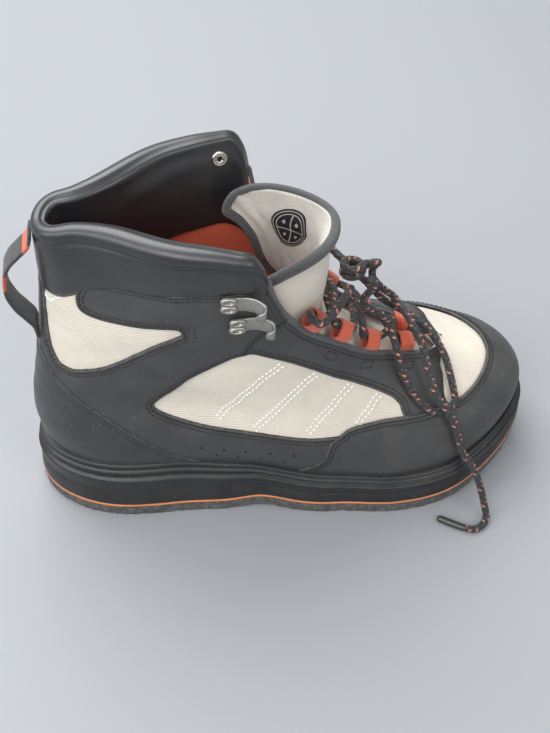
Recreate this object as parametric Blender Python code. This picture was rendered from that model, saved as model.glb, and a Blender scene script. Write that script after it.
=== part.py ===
"""Right-foot wading boot, standing empty and unlaced at the collar, as separate solids.

Metres, +Z up, +X towards the toe, -Y the outer (lateral) side.
The origin is on the floor under the middle of the heel.
"""

import math
from collections import namedtuple

import bmesh
import bpy
import numpy as np
from mathutils import Matrix, Vector

# Driving sizes of the boot
LENGTH = 0.305
BALL_WIDTH = 0.1225
HEEL_WIDTH = 0.083
HEEL_SETBACK = 0.045
HEEL_STACK = 0.049
FORE_STACK = 0.0335
TOE_SPRING = 0.019
ARCH_RISE = 0.004
TOE_SWING = 0.006
FELT_THICK = 0.0095
BOND_THICK = 0.0018
INSTEP_RISE = 0.060
SHAFT_RISE = 0.166
COLLAR_CROWN = 0.006
WALL = 0.003
OVERLAY = 0.0013
GAP = 0.0003
INSOLE_THICK = 0.005
TONGUE_THICK = 0.005
TONGUE_SINK = 0.0064
COLLAR_OUT = 0.0035
COLLAR_IN = 0.009
LACE = 0.0046
WEBBING = 0.0013
WEBBING_WIDTH = 0.0095
PULL_WIDTH = 0.015
HOOK_PLATE = 0.0014

# Mesh fineness
SIDE_COLUMNS = 34
SOLE_COLUMNS = 36

Plan = namedtuple("Plan", "along lateral medial")
# Fullness of the sole's outline, as shares of the local width
SOLE_PLAN = [
    Plan(0.00, 0.765, 0.765),
    Plan(0.12, 0.692, 0.692),
    Plan(0.22, 0.598, 0.575),
    Plan(0.34, 0.500, 0.430),
    Plan(0.45, 0.430, 0.345),
    Plan(0.58, 0.450, 0.390),
    Plan(0.72, 0.547, 0.515),
    Plan(0.86, 0.613, 0.640),
    Plan(1.00, 0.600, 0.740),
]
BALL_AT = 0.72

Section = namedtuple("Section", "name instep shaft back front lateral medial foot pinch front_round")
# Level sections of the form. Heights are shares of the instep's rise and of the rise from there to the rim,
# back and front are shares of the length, half-widths are shares of the ball width.
SECTIONS = [
    Section("feather", 0.00, 0.00, 0.023, 0.980, 0.440, 0.405, 1.00, 0.00, 1.00),
    Section("rand", 0.18, 0.00, 0.016, 0.985, 0.455, 0.422, 1.00, 0.00, 1.00),
    Section("toe_box", 0.38, 0.00, 0.013, 0.968, 0.436, 0.408, 1.00, 0.00, 1.00),
    Section("toe_crown", 0.58, 0.00, 0.016, 0.918, 0.385, 0.390, 0.95, 0.00, 1.00),
    Section("vamp", 0.77, 0.00, 0.023, 0.820, 0.335, 0.365, 0.80, 0.00, 1.00),
    Section("instep", 0.93, 0.04, 0.033, 0.700, 0.312, 0.352, 0.50, 0.00, 0.95),
    Section("ankle_low", 1.00, 0.23, 0.048, 0.615, 0.312, 0.345, 0.20, 0.04, 0.90),
    Section("ankle", 1.00, 0.47, 0.062, 0.555, 0.330, 0.345, 0.00, 0.14, 0.75),
    Section("shaft", 1.00, 0.73, 0.074, 0.520, 0.355, 0.375, 0.00, 0.36, 0.62),
    Section("rim", 1.00, 1.00, 0.078, 0.508, 0.385, 0.430, 0.00, 0.58, 0.52),
]
TOP = len(SECTIONS) - 1

Edge = namedtuple("Edge", "lateral medial level")
# The upper's top edge: round the collar, down the throat to its front end. Angles run from the heel.
TOPLINE = [
    Edge(0, 0, 9.0),
    Edge(60, 60, 9.0),
    Edge(106, 106, 9.0),
    Edge(117, 117, 8.75),
    Edge(124, 123, 8.1),
    Edge(131, 128, 7.2),
    Edge(141, 134, 6.3),
    Edge(152, 144, 5.5),
    Edge(161, 155, 4.9),
    Edge(168, 165, 4.4),
    Edge(180, 180, 4.1),
]

Seam = namedtuple("Seam", "along foxing arm_low arm_high strap collar")
# Seams of the upper's panels, as shares of each column's height, by place along the top edge from heel to toe
SEAMS = [
    Seam(0.00, 0.52, 0.56, 0.62, 0.68, 0.755),
    Seam(0.06, 0.40, 0.44, 0.51, 0.68, 0.760),
    Seam(0.10, 0.30, 0.34, 0.42, 0.70, 0.800),
    Seam(0.16, 0.22, 0.26, 0.50, 0.70, 0.850),
    Seam(0.22, 0.19, 0.29, 0.57, 0.70, 0.852),
    Seam(0.32, 0.18, 0.46, 0.66, 0.71, 0.862),
    Seam(0.42, 0.19, 0.63, 0.72, 0.80, 0.925),
    Seam(0.51, 0.23, 0.67, 0.75, 0.85, 0.970),
    Seam(0.59, 0.30, 0.66, 0.74, 0.82, 0.920),
    Seam(0.66, 0.36, 0.63, 0.72, 0.80, 0.900),
    Seam(0.73, 0.37, 0.42, 0.55, 0.70, 0.860),
    Seam(0.81, 0.40, 0.48, 0.60, 0.74, 0.880),
    Seam(0.88, 0.43, 0.61, 0.71, 0.81, 0.920),
    Seam(0.96, 0.51, 0.72, 0.80, 0.87, 0.940),
    Seam(1.00, 0.56, 0.74, 0.82, 0.89, 0.950),
]
# Rows of the upper's net that lie on those seams
FOXING_ROW, ARM_LOW_ROW, ARM_HIGH_ROW, STRAP_ROW, COLLAR_ROW, ROWS = 4, 6, 9, 11, 13, 18
# Columns of the upper's net where its panels start and end
COUNTER_END = 8
CAP_START = 16
ARM_START = 3
STRAP_START = 3
ANKLE_START = 10
FACING_START = 15
FACING_END = 31
COLLAR_END = 15

Pad = namedtuple("Pad", "along outside inside")
# Fullness of the collar's padding, as shares of its two depths, by place along the top edge
COLLAR_PAD = [
    Pad(0.00, 0.45, 0.25),
    Pad(0.06, 0.65, 0.45),
    Pad(0.16, 1.00, 0.90),
    Pad(0.27, 1.00, 0.85),
    Pad(0.36, 0.85, 0.40),
    Pad(0.47, 0.30, 0.08),
]

Fold = namedtuple("Fold", "front height half wrap_lateral wrap_medial rise_lateral rise_medial")
# Free part of the tongue above the throat. Fronts are shares of the length, half-widths and wraps of the ball
# width, heights and rises of the shaft's rise.
TONGUE_FOLDS = [
    Fold(0.572, 0.63, 0.245, 0.31, 0.35, 0.00, 0.00),
    Fold(0.570, 0.72, 0.255, 0.32, 0.43, 0.00, 0.02),
    Fold(0.578, 0.81, 0.268, 0.31, 0.52, 0.00, 0.05),
    Fold(0.585, 0.875, 0.275, 0.29, 0.60, -0.01, 0.10),
]
Tuck = namedtuple("Tuck", "level spread_lateral spread_medial")
# Tucked part of the tongue, inside the upper: level, and how far it spreads from the toe's middle in degrees
TONGUE_TUCKS = [
    Tuck(3.90, 12, 14),
    Tuck(4.25, 20, 24),
    Tuck(4.70, 29, 36),
    Tuck(5.20, 37, 44),
    Tuck(5.80, 45, 52),
    Tuck(6.40, 50, 57),
]
TONGUE_ACROSS = 12

Rib = namedtuple("Rib", "height outset")
# Side of the midsole: share of its height, and outset as a share of its rib depth
RIB_DEPTH = 0.0018
SOLE_FLARE = 0.0025
MIDSOLE_RIBS = [
    Rib(0.00, 0.2), Rib(0.57, 0.3), Rib(0.61, 0.9), Rib(0.67, 0.9), Rib(0.70, -0.3), Rib(0.78, -0.4),
    Rib(0.81, 0.5), Rib(0.85, 0.5), Rib(0.88, -0.6), Rib(0.93, 0.0), Rib(1.00, -0.6),
]


def clear_scene():
    for obj in list(bpy.data.objects):
        bpy.data.objects.remove(obj)


def material(name, colour, roughness, metallic=0.0):
    made = bpy.data.materials.new(name)
    made.use_nodes = True
    shader = made.node_tree.nodes["Principled BSDF"]
    shader.inputs["Base Color"].default_value = (*colour, 1.0)
    shader.inputs["Roughness"].default_value = roughness
    shader.inputs["Metallic"].default_value = metallic
    made.diffuse_color = (*colour, 1.0)
    return made


def smooth_step(value, low, high):
    share = min(max((value - low) / (high - low), 0.0), 1.0)
    return share * share * (3.0 - 2.0 * share)


def through(places, values, place):
    """A curve through the values with no overshoot between them."""
    places = np.asarray(places, float)
    values = np.asarray(values, float)
    steps = np.diff(places)
    slopes = np.diff(values) / steps
    tangents = np.zeros(len(values))
    for i in range(1, len(values) - 1):
        if slopes[i - 1] * slopes[i] > 0:
            near, far = 2 * steps[i] + steps[i - 1], steps[i] + 2 * steps[i - 1]
            tangents[i] = (near + far) / (near / slopes[i - 1] + far / slopes[i])
    tangents[0], tangents[-1] = slopes[0], slopes[-1]
    place = min(max(place, places[0]), places[-1])
    i = min(int(np.searchsorted(places, place, side="right")) - 1, len(steps) - 1)
    t = (place - places[i]) / steps[i]
    start = (1 + 2 * t) * (1 - t) ** 2 * values[i] + t * (1 - t) ** 2 * steps[i] * tangents[i]
    end = t * t * (3 - 2 * t) * values[i + 1] + t * t * (t - 1) * steps[i] * tangents[i + 1]
    return start + end


# Heights of the sole along the boot

def floor_height(along):
    """Underside of the felt: flat under heel and ball, raised in the arch and sprung at the toe."""
    arch = ARCH_RISE * math.exp(-(((along - 0.445) / 0.055) ** 2))
    arch = arch if 0.33 < along < 0.56 else 0.0
    spring = TOE_SPRING * max(0.0, (along - 0.74) / 0.26) ** 2
    return arch + spring


def feather_height(along):
    """Top of the midsole, where the upper starts."""
    stack = HEEL_STACK + (FORE_STACK - HEEL_STACK) * smooth_step(along, 0.22, 0.66)
    return stack + TOE_SPRING * 0.9 * max(0.0, (along - 0.74) / 0.26) ** 2


# Outlines in plan. The angle runs from 0 at the heel to 180 at the toe, side is -1 lateral and +1 medial.

def centre_line(along):
    return TOE_SWING * smooth_step(along, 0.3, 1.0)


def sole_half_width(along, side):
    column = "lateral" if side < 0 else "medial"
    share = through([p.along for p in SOLE_PLAN], [getattr(p, column) for p in SOLE_PLAN], along)
    width = HEEL_WIDTH + (BALL_WIDTH - HEEL_WIDTH) * smooth_step(along, 0.25, 0.60)
    return share * width


def sole_plan(angle, side):
    along = (1 - math.cos(math.radians(angle))) / 2
    half = sole_half_width(along, side) * math.sin(math.radians(angle))
    return along * LENGTH - HEEL_SETBACK, centre_line(along) + side * half


def sole_point(angle, side, outset, height_of):
    """A point of the sole's outline pushed out by outset, at the height that height_of gives there."""
    x, y = sole_plan(angle, side)
    ahead, behind = sole_plan(min(angle + 1, 180), side), sole_plan(max(angle - 1, 0), side)
    run_x, run_y = ahead[0] - behind[0], ahead[1] - behind[1]
    if angle in (0, 180):
        run_x, run_y = 0.0, 1.0
    length = math.hypot(run_x, run_y)
    out_x, out_y = side * -run_y / length, side * run_x / length
    if angle in (0, 180):
        out_x, out_y = (-1.0 if angle == 0 else 1.0), 0.0
    x, y = x + outset * out_x, y + outset * out_y
    along = min(max((x + HEEL_SETBACK) / LENGTH, 0.0), 1.0)
    return Vector((x, y, height_of(along)))


# The upper's form

def section_value(column, level):
    return through(range(len(SECTIONS)), [getattr(s, column) for s in SECTIONS], level)


def form_point(angle, side, level):
    """A point of the boot's outer form at a level section."""
    half_turn = math.radians(angle)
    cosine, sine = math.cos(half_turn), math.sin(half_turn)
    roundness = 1.0 if cosine > 0 else section_value("front_round", level)
    rearward = (1 + cosine) / 2
    pinch = smooth_step(rearward, 0.3, 0.85) * (1 - 0.35 * smooth_step(rearward, 0.85, 1.0))
    pinch = 1.0 - section_value("pinch", level) * pinch
    foot = section_value("foot", level)
    along_foot = (1 - cosine) / 2
    along_ankle = 0.5 - 0.5 * math.copysign(abs(cosine) ** roundness, cosine)
    along = along_ankle + (along_foot - along_ankle) * foot
    ball_angle = math.sqrt(BALL_AT * (1 - BALL_AT)) * 2
    width_foot = sole_half_width(along_foot, side) * sine / (sole_half_width(BALL_AT, side) * ball_angle)
    width_ankle = pinch * max(sine, 0.0) ** roundness
    width = width_ankle + (width_foot - width_ankle) * foot
    back, front = section_value("back", level), section_value("front", level)
    x_share = back + (front - back) * along
    half = section_value("lateral" if side < 0 else "medial", level) * BALL_WIDTH * width
    rise = section_value("instep", level) * INSTEP_RISE
    rise += section_value("shaft", level) * (SHAFT_RISE - INSTEP_RISE)
    fade = 1 - smooth_step(level, 1.5, 7.0)
    base = HEEL_STACK + (feather_height(x_share) - HEEL_STACK) * fade
    crown = COLLAR_CROWN * sine ** 1.5 * smooth_step(level, 6.0, 9.0)
    y = centre_line(x_share) * foot + side * half
    return Vector((x_share * LENGTH - HEEL_SETBACK, y, base + rise + crown))


def form_normal(angle, side, level):
    low, high = max(level - 0.05, 0), min(level + 0.05, TOP)
    up = form_point(angle, side, high) - form_point(angle, side, low)
    if angle < 2 or angle > 178:
        round_ = Vector((0, 1, 0)) * side * (1 if angle < 2 else -1)
    else:
        round_ = form_point(angle + 1.5, side, level) - form_point(angle - 1.5, side, level)
    normal = round_.cross(up) * side
    return normal.normalized() * -1


def out_from_form(angle, side, level, offset):
    return form_point(angle, side, level) + form_normal(angle, side, level) * offset


# The upper's net: columns run from the feather edge to the top edge

def even_places(point_at, count, samples=240):
    """Parameters 0 to 1 that split a curve into equal lengths."""
    grid = np.linspace(0, 1, samples)
    points = np.array([point_at(g)[:] for g in grid])
    run = np.concatenate([[0], np.cumsum(np.linalg.norm(np.diff(points, axis=0), axis=1))])
    return np.interp(np.linspace(0, run[-1], count), run, grid)


def topline_at(place, side):
    steps = [i / (len(TOPLINE) - 1) for i in range(len(TOPLINE))]
    angles = [e.lateral if side < 0 else e.medial for e in TOPLINE]
    return through(steps, angles, place), through(steps, [e.level for e in TOPLINE], place)


class Net:
    """Angles and levels of the upper's columns on one side, heel first."""

    def __init__(self, side):
        self.side = side
        top = even_places(lambda g: self.edge_point(g), SIDE_COLUMNS)
        low = even_places(lambda g: form_point(180 * g, side, 0), SIDE_COLUMNS)
        self.tops = [topline_at(g, side) for g in top]
        self.lows = [180 * g for g in low]
        self.shares = [i / (SIDE_COLUMNS - 1) for i in range(SIDE_COLUMNS)]
        self.evened = [self.even_column(i) for i in range(SIDE_COLUMNS)]

    def edge_point(self, place):
        angle, level = topline_at(place, self.side)
        return form_point(angle, self.side, level)

    def raw(self, column, share):
        angle, level = self.tops[column]
        low = self.lows[column]
        return low + (angle - low) * share, level * share

    def even_column(self, column):
        return even_places(lambda g: form_point(self.raw(column, g)[0], self.side, self.raw(column, g)[1]), 41, 81)

    def at(self, column, height):
        """Angle and level of a column at a share of its length."""
        share = float(np.interp(height, np.linspace(0, 1, 41), self.evened[column]))
        return self.raw(column, share)

    def point(self, column, height, offset=0.0):
        angle, level = self.at(column, height)
        return out_from_form(angle, self.side, level, offset)


def row_height(place, row):
    """Share of a column's height at a row: rows are spread evenly between the seams."""
    rows = [0, FOXING_ROW, ARM_LOW_ROW, ARM_HIGH_ROW, STRAP_ROW, COLLAR_ROW, ROWS]
    alongs = [s.along for s in SEAMS]
    heights = [through(alongs, [s[i] for s in SEAMS], place) for i in range(1, 6)]
    return float(np.interp(row, rows, [0.0, *heights, 1.0]))


def net_point(net, column, row, offset=0.0):
    height = row_height(net.shares[column], row)
    point = net.point(column, height, offset)
    if row == 0:
        along = (point.x + HEEL_SETBACK) / LENGTH
        point.z = feather_height(min(max(along, 0), 1)) + GAP
    return point


# Mesh makers

def new_object(name, bm, finish, collection):
    bmesh.ops.recalc_face_normals(bm, faces=bm.faces)
    mesh = bpy.data.meshes.new(name)
    bm.to_mesh(mesh)
    bm.free()
    mesh.shade_smooth()
    mesh.set_sharp_from_angle(angle=math.radians(35))
    obj = bpy.data.objects.new(name, mesh)
    obj.data.materials.append(finish)
    collection.objects.link(obj)
    return obj


def sweep(name, sections, finish, collection, loop=False, medial=()):
    """A solid through closed sections of equal point count: joined end to end, or capped at both ends.

    Half of a section's points run along the piece and the other half run back, so each cap is a ladder of cells.
    The cells are split along one diagonal, and along the other from the sections whose numbers medial gives."""
    bm = bmesh.new()
    rings = [[bm.verts.new(p) for p in section] for section in sections]
    pairs = list(zip(rings, rings[1:]))
    if loop:
        pairs.append((rings[-1], rings[0]))
    for number, (one, two) in enumerate(pairs):
        for i in range(len(one)):
            j = (i + 1) % len(one)
            cell = (one[i], one[j], two[j], two[i])
            if number in medial:
                cell = (one[j], two[j], two[i], one[i])
            bm.faces.new(cell[:3])
            bm.faces.new((cell[0], cell[2], cell[3]))
    if not loop:
        for ring in (rings[0], rings[-1]):
            last = len(ring) - 1
            for i in range(len(ring) // 2 - 1):
                bm.faces.new((ring[i], ring[i + 1], ring[last - i - 1], ring[last - i]))
    return new_object(name, bm, finish, collection)


def stack(name, rings, finish, collection):
    """A solid from outlines laid one over another. Each outline is its lateral points and its medial points,
    heel to toe, and the lowest and highest are closed by strips across."""
    bm = bmesh.new()
    placed = []
    for lateral, medial in rings:
        lateral = [bm.verts.new(p) for p in lateral]
        inner = [bm.verts.new(p) for p in medial[1:-1]]
        placed.append((lateral, [lateral[0], *inner, lateral[-1]]))
    for (low_lat, low_med), (high_lat, high_med) in zip(placed, placed[1:]):
        for i in range(len(low_lat) - 1):
            bm.faces.new((low_lat[i], low_lat[i + 1], high_lat[i + 1], high_lat[i]))
            bm.faces.new((low_med[i + 1], low_med[i], high_med[i], high_med[i + 1]))
    for lateral, medial in (placed[0], placed[-1]):
        for i in range(len(lateral) - 1):
            bm.faces.new(list(dict.fromkeys((lateral[i], lateral[i + 1], medial[i + 1], medial[i]))))
    return new_object(name, bm, finish, collection)


def sole_ring(outset, height_of):
    angles = [180 * i / SOLE_COLUMNS for i in range(SOLE_COLUMNS + 1)]
    return tuple([sole_point(a, side, outset, height_of) for a in angles] for side in (-1, 1))


# Sole pieces

def add_outsole(finish, collection):
    top = lambda along: floor_height(along) + FELT_THICK
    edge = lambda along: floor_height(along) + 0.0012
    rings = [
        sole_ring(SOLE_FLARE - 0.0012, floor_height),
        sole_ring(SOLE_FLARE, edge),
        sole_ring(SOLE_FLARE, top),
    ]
    return stack("outsole_felt", rings, finish, collection)


def bond_base(along):
    return floor_height(along) + FELT_THICK + GAP


def midsole_base(along):
    return bond_base(along) + BOND_THICK + GAP


def add_bond_line(finish, collection):
    outset = SOLE_FLARE + 0.0004
    rings = [sole_ring(outset, bond_base), sole_ring(outset, lambda along: bond_base(along) + BOND_THICK)]
    return stack("bond_line", rings, finish, collection)


def add_midsole(finish, collection):
    rings = []
    for rib in MIDSOLE_RIBS:
        height = lambda along, share=rib.height: (
            midsole_base(along) + (feather_height(along) - midsole_base(along)) * share)
        rings.append(sole_ring(rib.outset * RIB_DEPTH + SOLE_FLARE * (1 - rib.height) - 0.001 * rib.height, height))
    return stack("midsole", rings, finish, collection)


def insole_ring(lift):
    sides = []
    for side in (-1, 1):
        points = []
        for i in range(SOLE_COLUMNS + 1):
            angle = 180 * i / SOLE_COLUMNS
            normal = form_normal(angle, side, 0)
            flat = Vector((normal.x, normal.y, 0)).normalized()
            point = form_point(angle, side, 0) - flat * (WALL + GAP * 2)
            point.z = feather_height(min(max((point.x + HEEL_SETBACK) / LENGTH, 0), 1)) + lift
            points.append(point)
        sides.append(points)
    return tuple(sides)


def add_insole(finish, collection):
    return stack("insole", [insole_ring(GAP), insole_ring(GAP + INSOLE_THICK)], finish, collection)


# Upper and its overlays

def net_columns(nets):
    """(net, column) all the way round: heel, lateral side, toe, medial side."""
    lateral, medial = nets
    way = [(lateral, c) for c in range(SIDE_COLUMNS)]
    return way + [(medial, c) for c in range(SIDE_COLUMNS - 2, 0, -1)]


def medial_cells(columns):
    return {i for i in range(len(columns)) if columns[i][0].side > 0 or columns[(i + 1) % len(columns)][0].side > 0}


def add_upper(nets, finish, collection):
    sections = []
    columns = net_columns(nets)
    for net, column in columns:
        outer = [net_point(net, column, r) for r in range(ROWS + 1)]
        inner = [net_point(net, column, r, -WALL) for r in range(ROWS, -1, -1)]
        sections.append(outer + inner)
    return sweep("upper", sections, finish, collection, loop=True, medial=medial_cells(columns))


def ring_run(nets, start, end, side=None):
    """Columns of the upper from start to end, in the order that the upper is swept.

    With no side they run round the heel if start is 0, or else round the toe."""
    lateral, medial = nets
    inside = lambda net, c: start <= c <= end
    if side == -1:
        return [(lateral, c) for c in range(SIDE_COLUMNS) if inside(lateral, c)]
    if side == 1:
        return [(medial, c) for c in range(SIDE_COLUMNS - 1, -1, -1) if inside(medial, c)]
    if start <= 0:
        return ([(medial, c) for c in range(SIDE_COLUMNS - 1, 0, -1) if inside(medial, c)]
                + [(lateral, c) for c in range(SIDE_COLUMNS) if inside(lateral, c)])
    return ([(lateral, c) for c in range(SIDE_COLUMNS) if inside(lateral, c)]
            + [(medial, c) for c in range(SIDE_COLUMNS - 2, -1, -1) if inside(medial, c)])


def trim(sections, amount):
    """Pull the end sections in towards their neighbours, so that panels meet with a fine gap."""
    for end, near in ((0, 1), (-1, -2)):
        share = amount / max((sections[near][0] - sections[end][0]).length, amount)
        sections[end] = [p.lerp(q, share) for p, q in zip(sections[end], sections[near])]
    return sections


def panel_section(net, column, low_row, high_row):
    """Section of a panel laid over the upper between two rows, a fine gap clear of its neighbours."""
    rows = [low_row + (0.03 if low_row else 0), *range(low_row + 1, high_row), high_row - 0.03]
    under = [net_point(net, column, r, GAP) for r in rows]
    over = [net_point(net, column, r, GAP + OVERLAY) for r in reversed(rows)]
    return under + over


def add_panel(name, columns, low_row, high_row, finish, collection):
    sections = [panel_section(net, c, low_row, high_row) for net, c in columns]
    return sweep(name, trim(sections, GAP), finish, collection, medial=medial_cells(columns))


def add_panels(nets, leather, rubber, collection):
    add_panel("toe_cap", ring_run(nets, CAP_START, SIDE_COLUMNS), 0, FOXING_ROW, rubber, collection)
    add_panel("heel_counter", ring_run(nets, 0, COUNTER_END), 0, FOXING_ROW, rubber, collection)
    for side, label in ((-1, "lateral"), (1, "medial")):
        run = lambda start, end: ring_run(nets, start, end, side)
        add_panel("foxing_" + label, run(COUNTER_END, CAP_START), 0, FOXING_ROW, leather, collection)
        add_panel("quarter_arm_" + label, run(ARM_START, ANKLE_START), ARM_LOW_ROW, ARM_HIGH_ROW, leather, collection)
        add_panel("ankle_strap_" + label, run(STRAP_START, ANKLE_START), STRAP_ROW, COLLAR_ROW, leather, collection)
        add_panel("ankle_panel_" + label, run(ANKLE_START, FACING_START), ARM_LOW_ROW, COLLAR_ROW, leather, collection)
        add_panel("facing_" + label, run(FACING_START, FACING_END), ARM_LOW_ROW, ROWS, leather, collection)


def pad_share(place, column):
    return through([p.along for p in COLLAR_PAD], [getattr(p, column) for p in COLLAR_PAD], place)


def collar_section(net, column):
    """Padded collar: outside from the collar seam up, over the upper's edge, and down inside it."""
    place = net.shares[column]
    outer = COLLAR_OUT * pad_share(place, "outside")
    inner = COLLAR_IN * pad_share(place, "inside")
    thin = 0.0008
    up = net_point(net, column, ROWS) - net_point(net, column, ROWS - 0.5)
    up.normalize()
    inside = -WALL - GAP
    base = COLLAR_ROW + 0.03
    low_inside = ARM_HIGH_ROW + 1
    near = [net_point(net, column, r, GAP) for r in [base, *range(COLLAR_ROW + 1, ROWS + 1)]]
    near += [net_point(net, column, ROWS, offset) + up * GAP for offset in (GAP, (GAP + inside) / 2, inside)]
    near += [net_point(net, column, r, inside) for r in range(ROWS, low_inside - 1, -1)]
    count_in = ROWS - low_inside
    far = []
    for i in range(count_in + 1):
        fullness = math.sin(math.radians(12 + 78 * min(i / (count_in * 0.6), 1.0)))
        far.append(net_point(net, column, low_inside + i, inside - thin - inner * fullness))
    lift = thin + (outer + inner) * 0.35
    far.append(net_point(net, column, ROWS, inside - inner * 0.55) + up * (GAP + lift * 0.75))
    far.append(net_point(net, column, ROWS, GAP + outer * 0.3) + up * (GAP + lift))
    far.append(net_point(net, column, ROWS, GAP + thin + outer * 0.9) + up * (GAP + lift * 0.45))
    count_out = ROWS - COLLAR_ROW
    for i in range(count_out, 0, -1):
        fullness = 0.35 + 0.65 * math.sin(math.pi * min(i / (count_out * 1.5), 1.0)) ** 0.7
        far.append(net_point(net, column, COLLAR_ROW + i, GAP + thin + outer * fullness))
    far.append(net_point(net, column, base, GAP + thin))
    return near + far


def add_collar(nets, finish, collection):
    columns = ring_run(nets, 0, COLLAR_END)
    sections = [collar_section(net, c) for net, c in columns]
    return sweep("collar", sections, finish, collection, medial=medial_cells(columns))


# Tongue

def tongue_rows():
    """Points of the tongue's outer face, row by row from its sewn end, lateral edge to medial edge."""
    rows = []
    turns = [-1 + 2 * i / TONGUE_ACROSS for i in range(TONGUE_ACROSS + 1)]
    for tuck in TONGUE_TUCKS:
        row = []
        for turn in turns:
            side = -1 if turn < 0 else 1
            spread = tuck.spread_lateral if turn < 0 else tuck.spread_medial
            sunk = WALL + TONGUE_SINK * (0.25 + 0.75 * (1 - turn * turn))
            row.append(out_from_form(180 - spread * abs(turn), side, tuck.level, -sunk))
        rows.append(row)
    for fold in TONGUE_FOLDS:
        row = []
        for turn in turns:
            side = "lateral" if turn < 0 else "medial"
            wrap = getattr(fold, "wrap_" + side) * BALL_WIDTH
            rise = getattr(fold, "rise_" + side) * (SHAFT_RISE - INSTEP_RISE)
            bend = abs(turn) * math.pi / 2
            x = fold.front * LENGTH - HEEL_SETBACK - wrap * (1 - math.cos(bend))
            y = math.copysign(fold.half * BALL_WIDTH * math.sin(bend), turn)
            z = HEEL_STACK + INSTEP_RISE + fold.height * (SHAFT_RISE - INSTEP_RISE) + rise * (1 - math.cos(bend))
            row.append(Vector((x, y, z)))
        rows.append(row)
    return rows


def smooth_rows(rows, count):
    """Resample the rows along the tongue through a smooth curve for each column."""
    places = [0.0]
    middle = TONGUE_ACROSS // 2
    for one, two in zip(rows, rows[1:]):
        places.append(places[-1] + (two[middle] - one[middle]).length)
    made = []
    for i in range(count + 1):
        place = places[-1] * i / count
        row = []
        for c in range(TONGUE_ACROSS + 1):
            row.append(Vector([through(places, [r[c][axis] for r in rows], place) for axis in range(3)]))
        made.append(row)
    return made


def grid_normals(rows):
    normals = []
    for i, row in enumerate(rows):
        line = []
        for c in range(len(row)):
            up = rows[min(i + 1, len(rows) - 1)][c] - rows[max(i - 1, 0)][c]
            across = row[min(c + 1, len(row) - 1)] - row[max(c - 1, 0)]
            line.append(across.cross(up).normalized())
        normals.append(line)
    return normals


def add_tongue(finish, collection):
    rows = smooth_rows(tongue_rows(), 14)
    normals = grid_normals(rows)
    sections = []
    for row, line in zip(rows, normals):
        last = len(row) - 1
        thick = [TONGUE_THICK * (0.35 if c in (0, last) else 1.0) for c in range(len(row))]
        inner = [p - n * t for p, n, t in zip(row, line, thick)]
        sections.append(list(row) + list(reversed(inner)))
    return sweep("tongue", sections, finish, collection)


# Hardware, webbing and laces

HookSpot = namedtuple("HookSpot", "name angle level")
HOOKS = [HookSpot("upper", 104.5, 8.03), HookSpot("lower", 107.5, 7.45)]
HOOK_WIDTH = 0.0105
HOOK_LIFT = 0.0004
Bend = namedtuple("Bend", "ahead out")
# Side view of a speed hook in mm: its plate lies on the boot, its tab curls back over a lace
HOOK_BENDS = [
    Bend(-7.0, 0.0), Bend(-1.0, 0.0), Bend(5.0, 0.0), Bend(9.0, 0.8), Bend(13.0, 3.0), Bend(15.5, 6.0),
    Bend(15.2, 9.0), Bend(12.8, 10.6), Bend(10.0, 10.2),
]
RIVET_RADIUS = 0.0034
RIVET_HEIGHT = 0.0016
LOOP_COLUMNS = [30, 27, 24, 21]
LOOP_LENGTH = 0.0125
LOOP_HEIGHT = 0.0084
LOOP_SINK = 0.0034
LOOP_REACH = 0.0014
Hang = namedtuple("Hang", "level out")
# Side view of the pull loop behind the heel: level of the form and distance out from it in mm
PULL_HANGS = [
    Hang(8.75, 3.6), Hang(8.55, 5.0), Hang(8.35, 10.0), Hang(8.10, 15.5), Hang(7.75, 18.5), Hang(7.35, 18.0),
    Hang(6.95, 13.5), Hang(6.65, 7.5), Hang(6.40, 3.0), Hang(6.10, 1.0),
]
Lie = namedtuple("Lie", "side angle level lift")
# Route of the lace's loop, hanging from the knot over the vamp and back: lift in mm over the form
LOOP_ROUTE = [
    Lie(1, 170.0, 6.30, 16.0), Lie(1, 166.0, 5.70, 14.0), Lie(1, 168.0, 5.20, 12.5), Lie(1, 172.0, 4.75, 11.5),
    Lie(-1, 178.0, 4.35, 9.0), Lie(-1, 163.0, 3.95, 5.5), Lie(-1, 150.0, 3.50, 4.2), Lie(-1, 143.5, 3.15, 4.2),
    Lie(-1, 138.0, 3.02, 4.2), Lie(-1, 134.5, 3.18, 4.2), Lie(-1, 135.5, 3.55, 4.2), Lie(-1, 140.0, 4.00, 4.6),
    Lie(-1, 149.0, 4.50, 6.5), Lie(-1, 163.0, 5.00, 11.0), Lie(-1, 174.0, 5.40, 13.5), Lie(-1, 174.0, 6.15, 14.0),
]
# Route of the lace's loose end: over the vamp and the sole's edge
END_ROUTE = [
    Lie(1, 170.0, 5.90, 20.0), Lie(1, 170.0, 5.30, 18.5), Lie(-1, 178.0, 4.90, 17.5), Lie(-1, 164.0, 4.55, 14.0),
    Lie(-1, 151.0, 4.15, 11.0), Lie(-1, 141.5, 3.65, 10.5), Lie(-1, 137.5, 3.20, 10.2), Lie(-1, 135.5, 2.70, 9.0),
]
Rest = namedtuple("Rest", "x y z")
# Then down beside the sole and along the floor, in mm from the sole's back end
END_FALL = [
    Rest(255, -52.5, 51), Rest(262, -56.5, 40), Rest(267, -61, 28), Rest(271, -66, 14), Rest(273, -71, 4.5),
    Rest(270, -76, 2.8), Rest(263, -79, 2.8), Rest(257, -77, 2.8),
]
AGLET_FALL = [Rest(255.9, -76.35, 2.8), Rest(242, -68, 2.8)]
AGLET = 0.0050
KNOT_AT = Rest(187, -6, 170)
KNOT_RADIUS = 0.0052
KNOT_TURNS = 2
LEAD_RISE = (0.0045, 0.0050)
LEAD_OUT = (0.0040, 0.0130)
LEAD_SPREAD = 0.0084
LEAD_DROP = 0.0050
BEND_STEP = 0.0047
HANG_STEP = 0.009
PULL_STEP = 0.006
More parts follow.
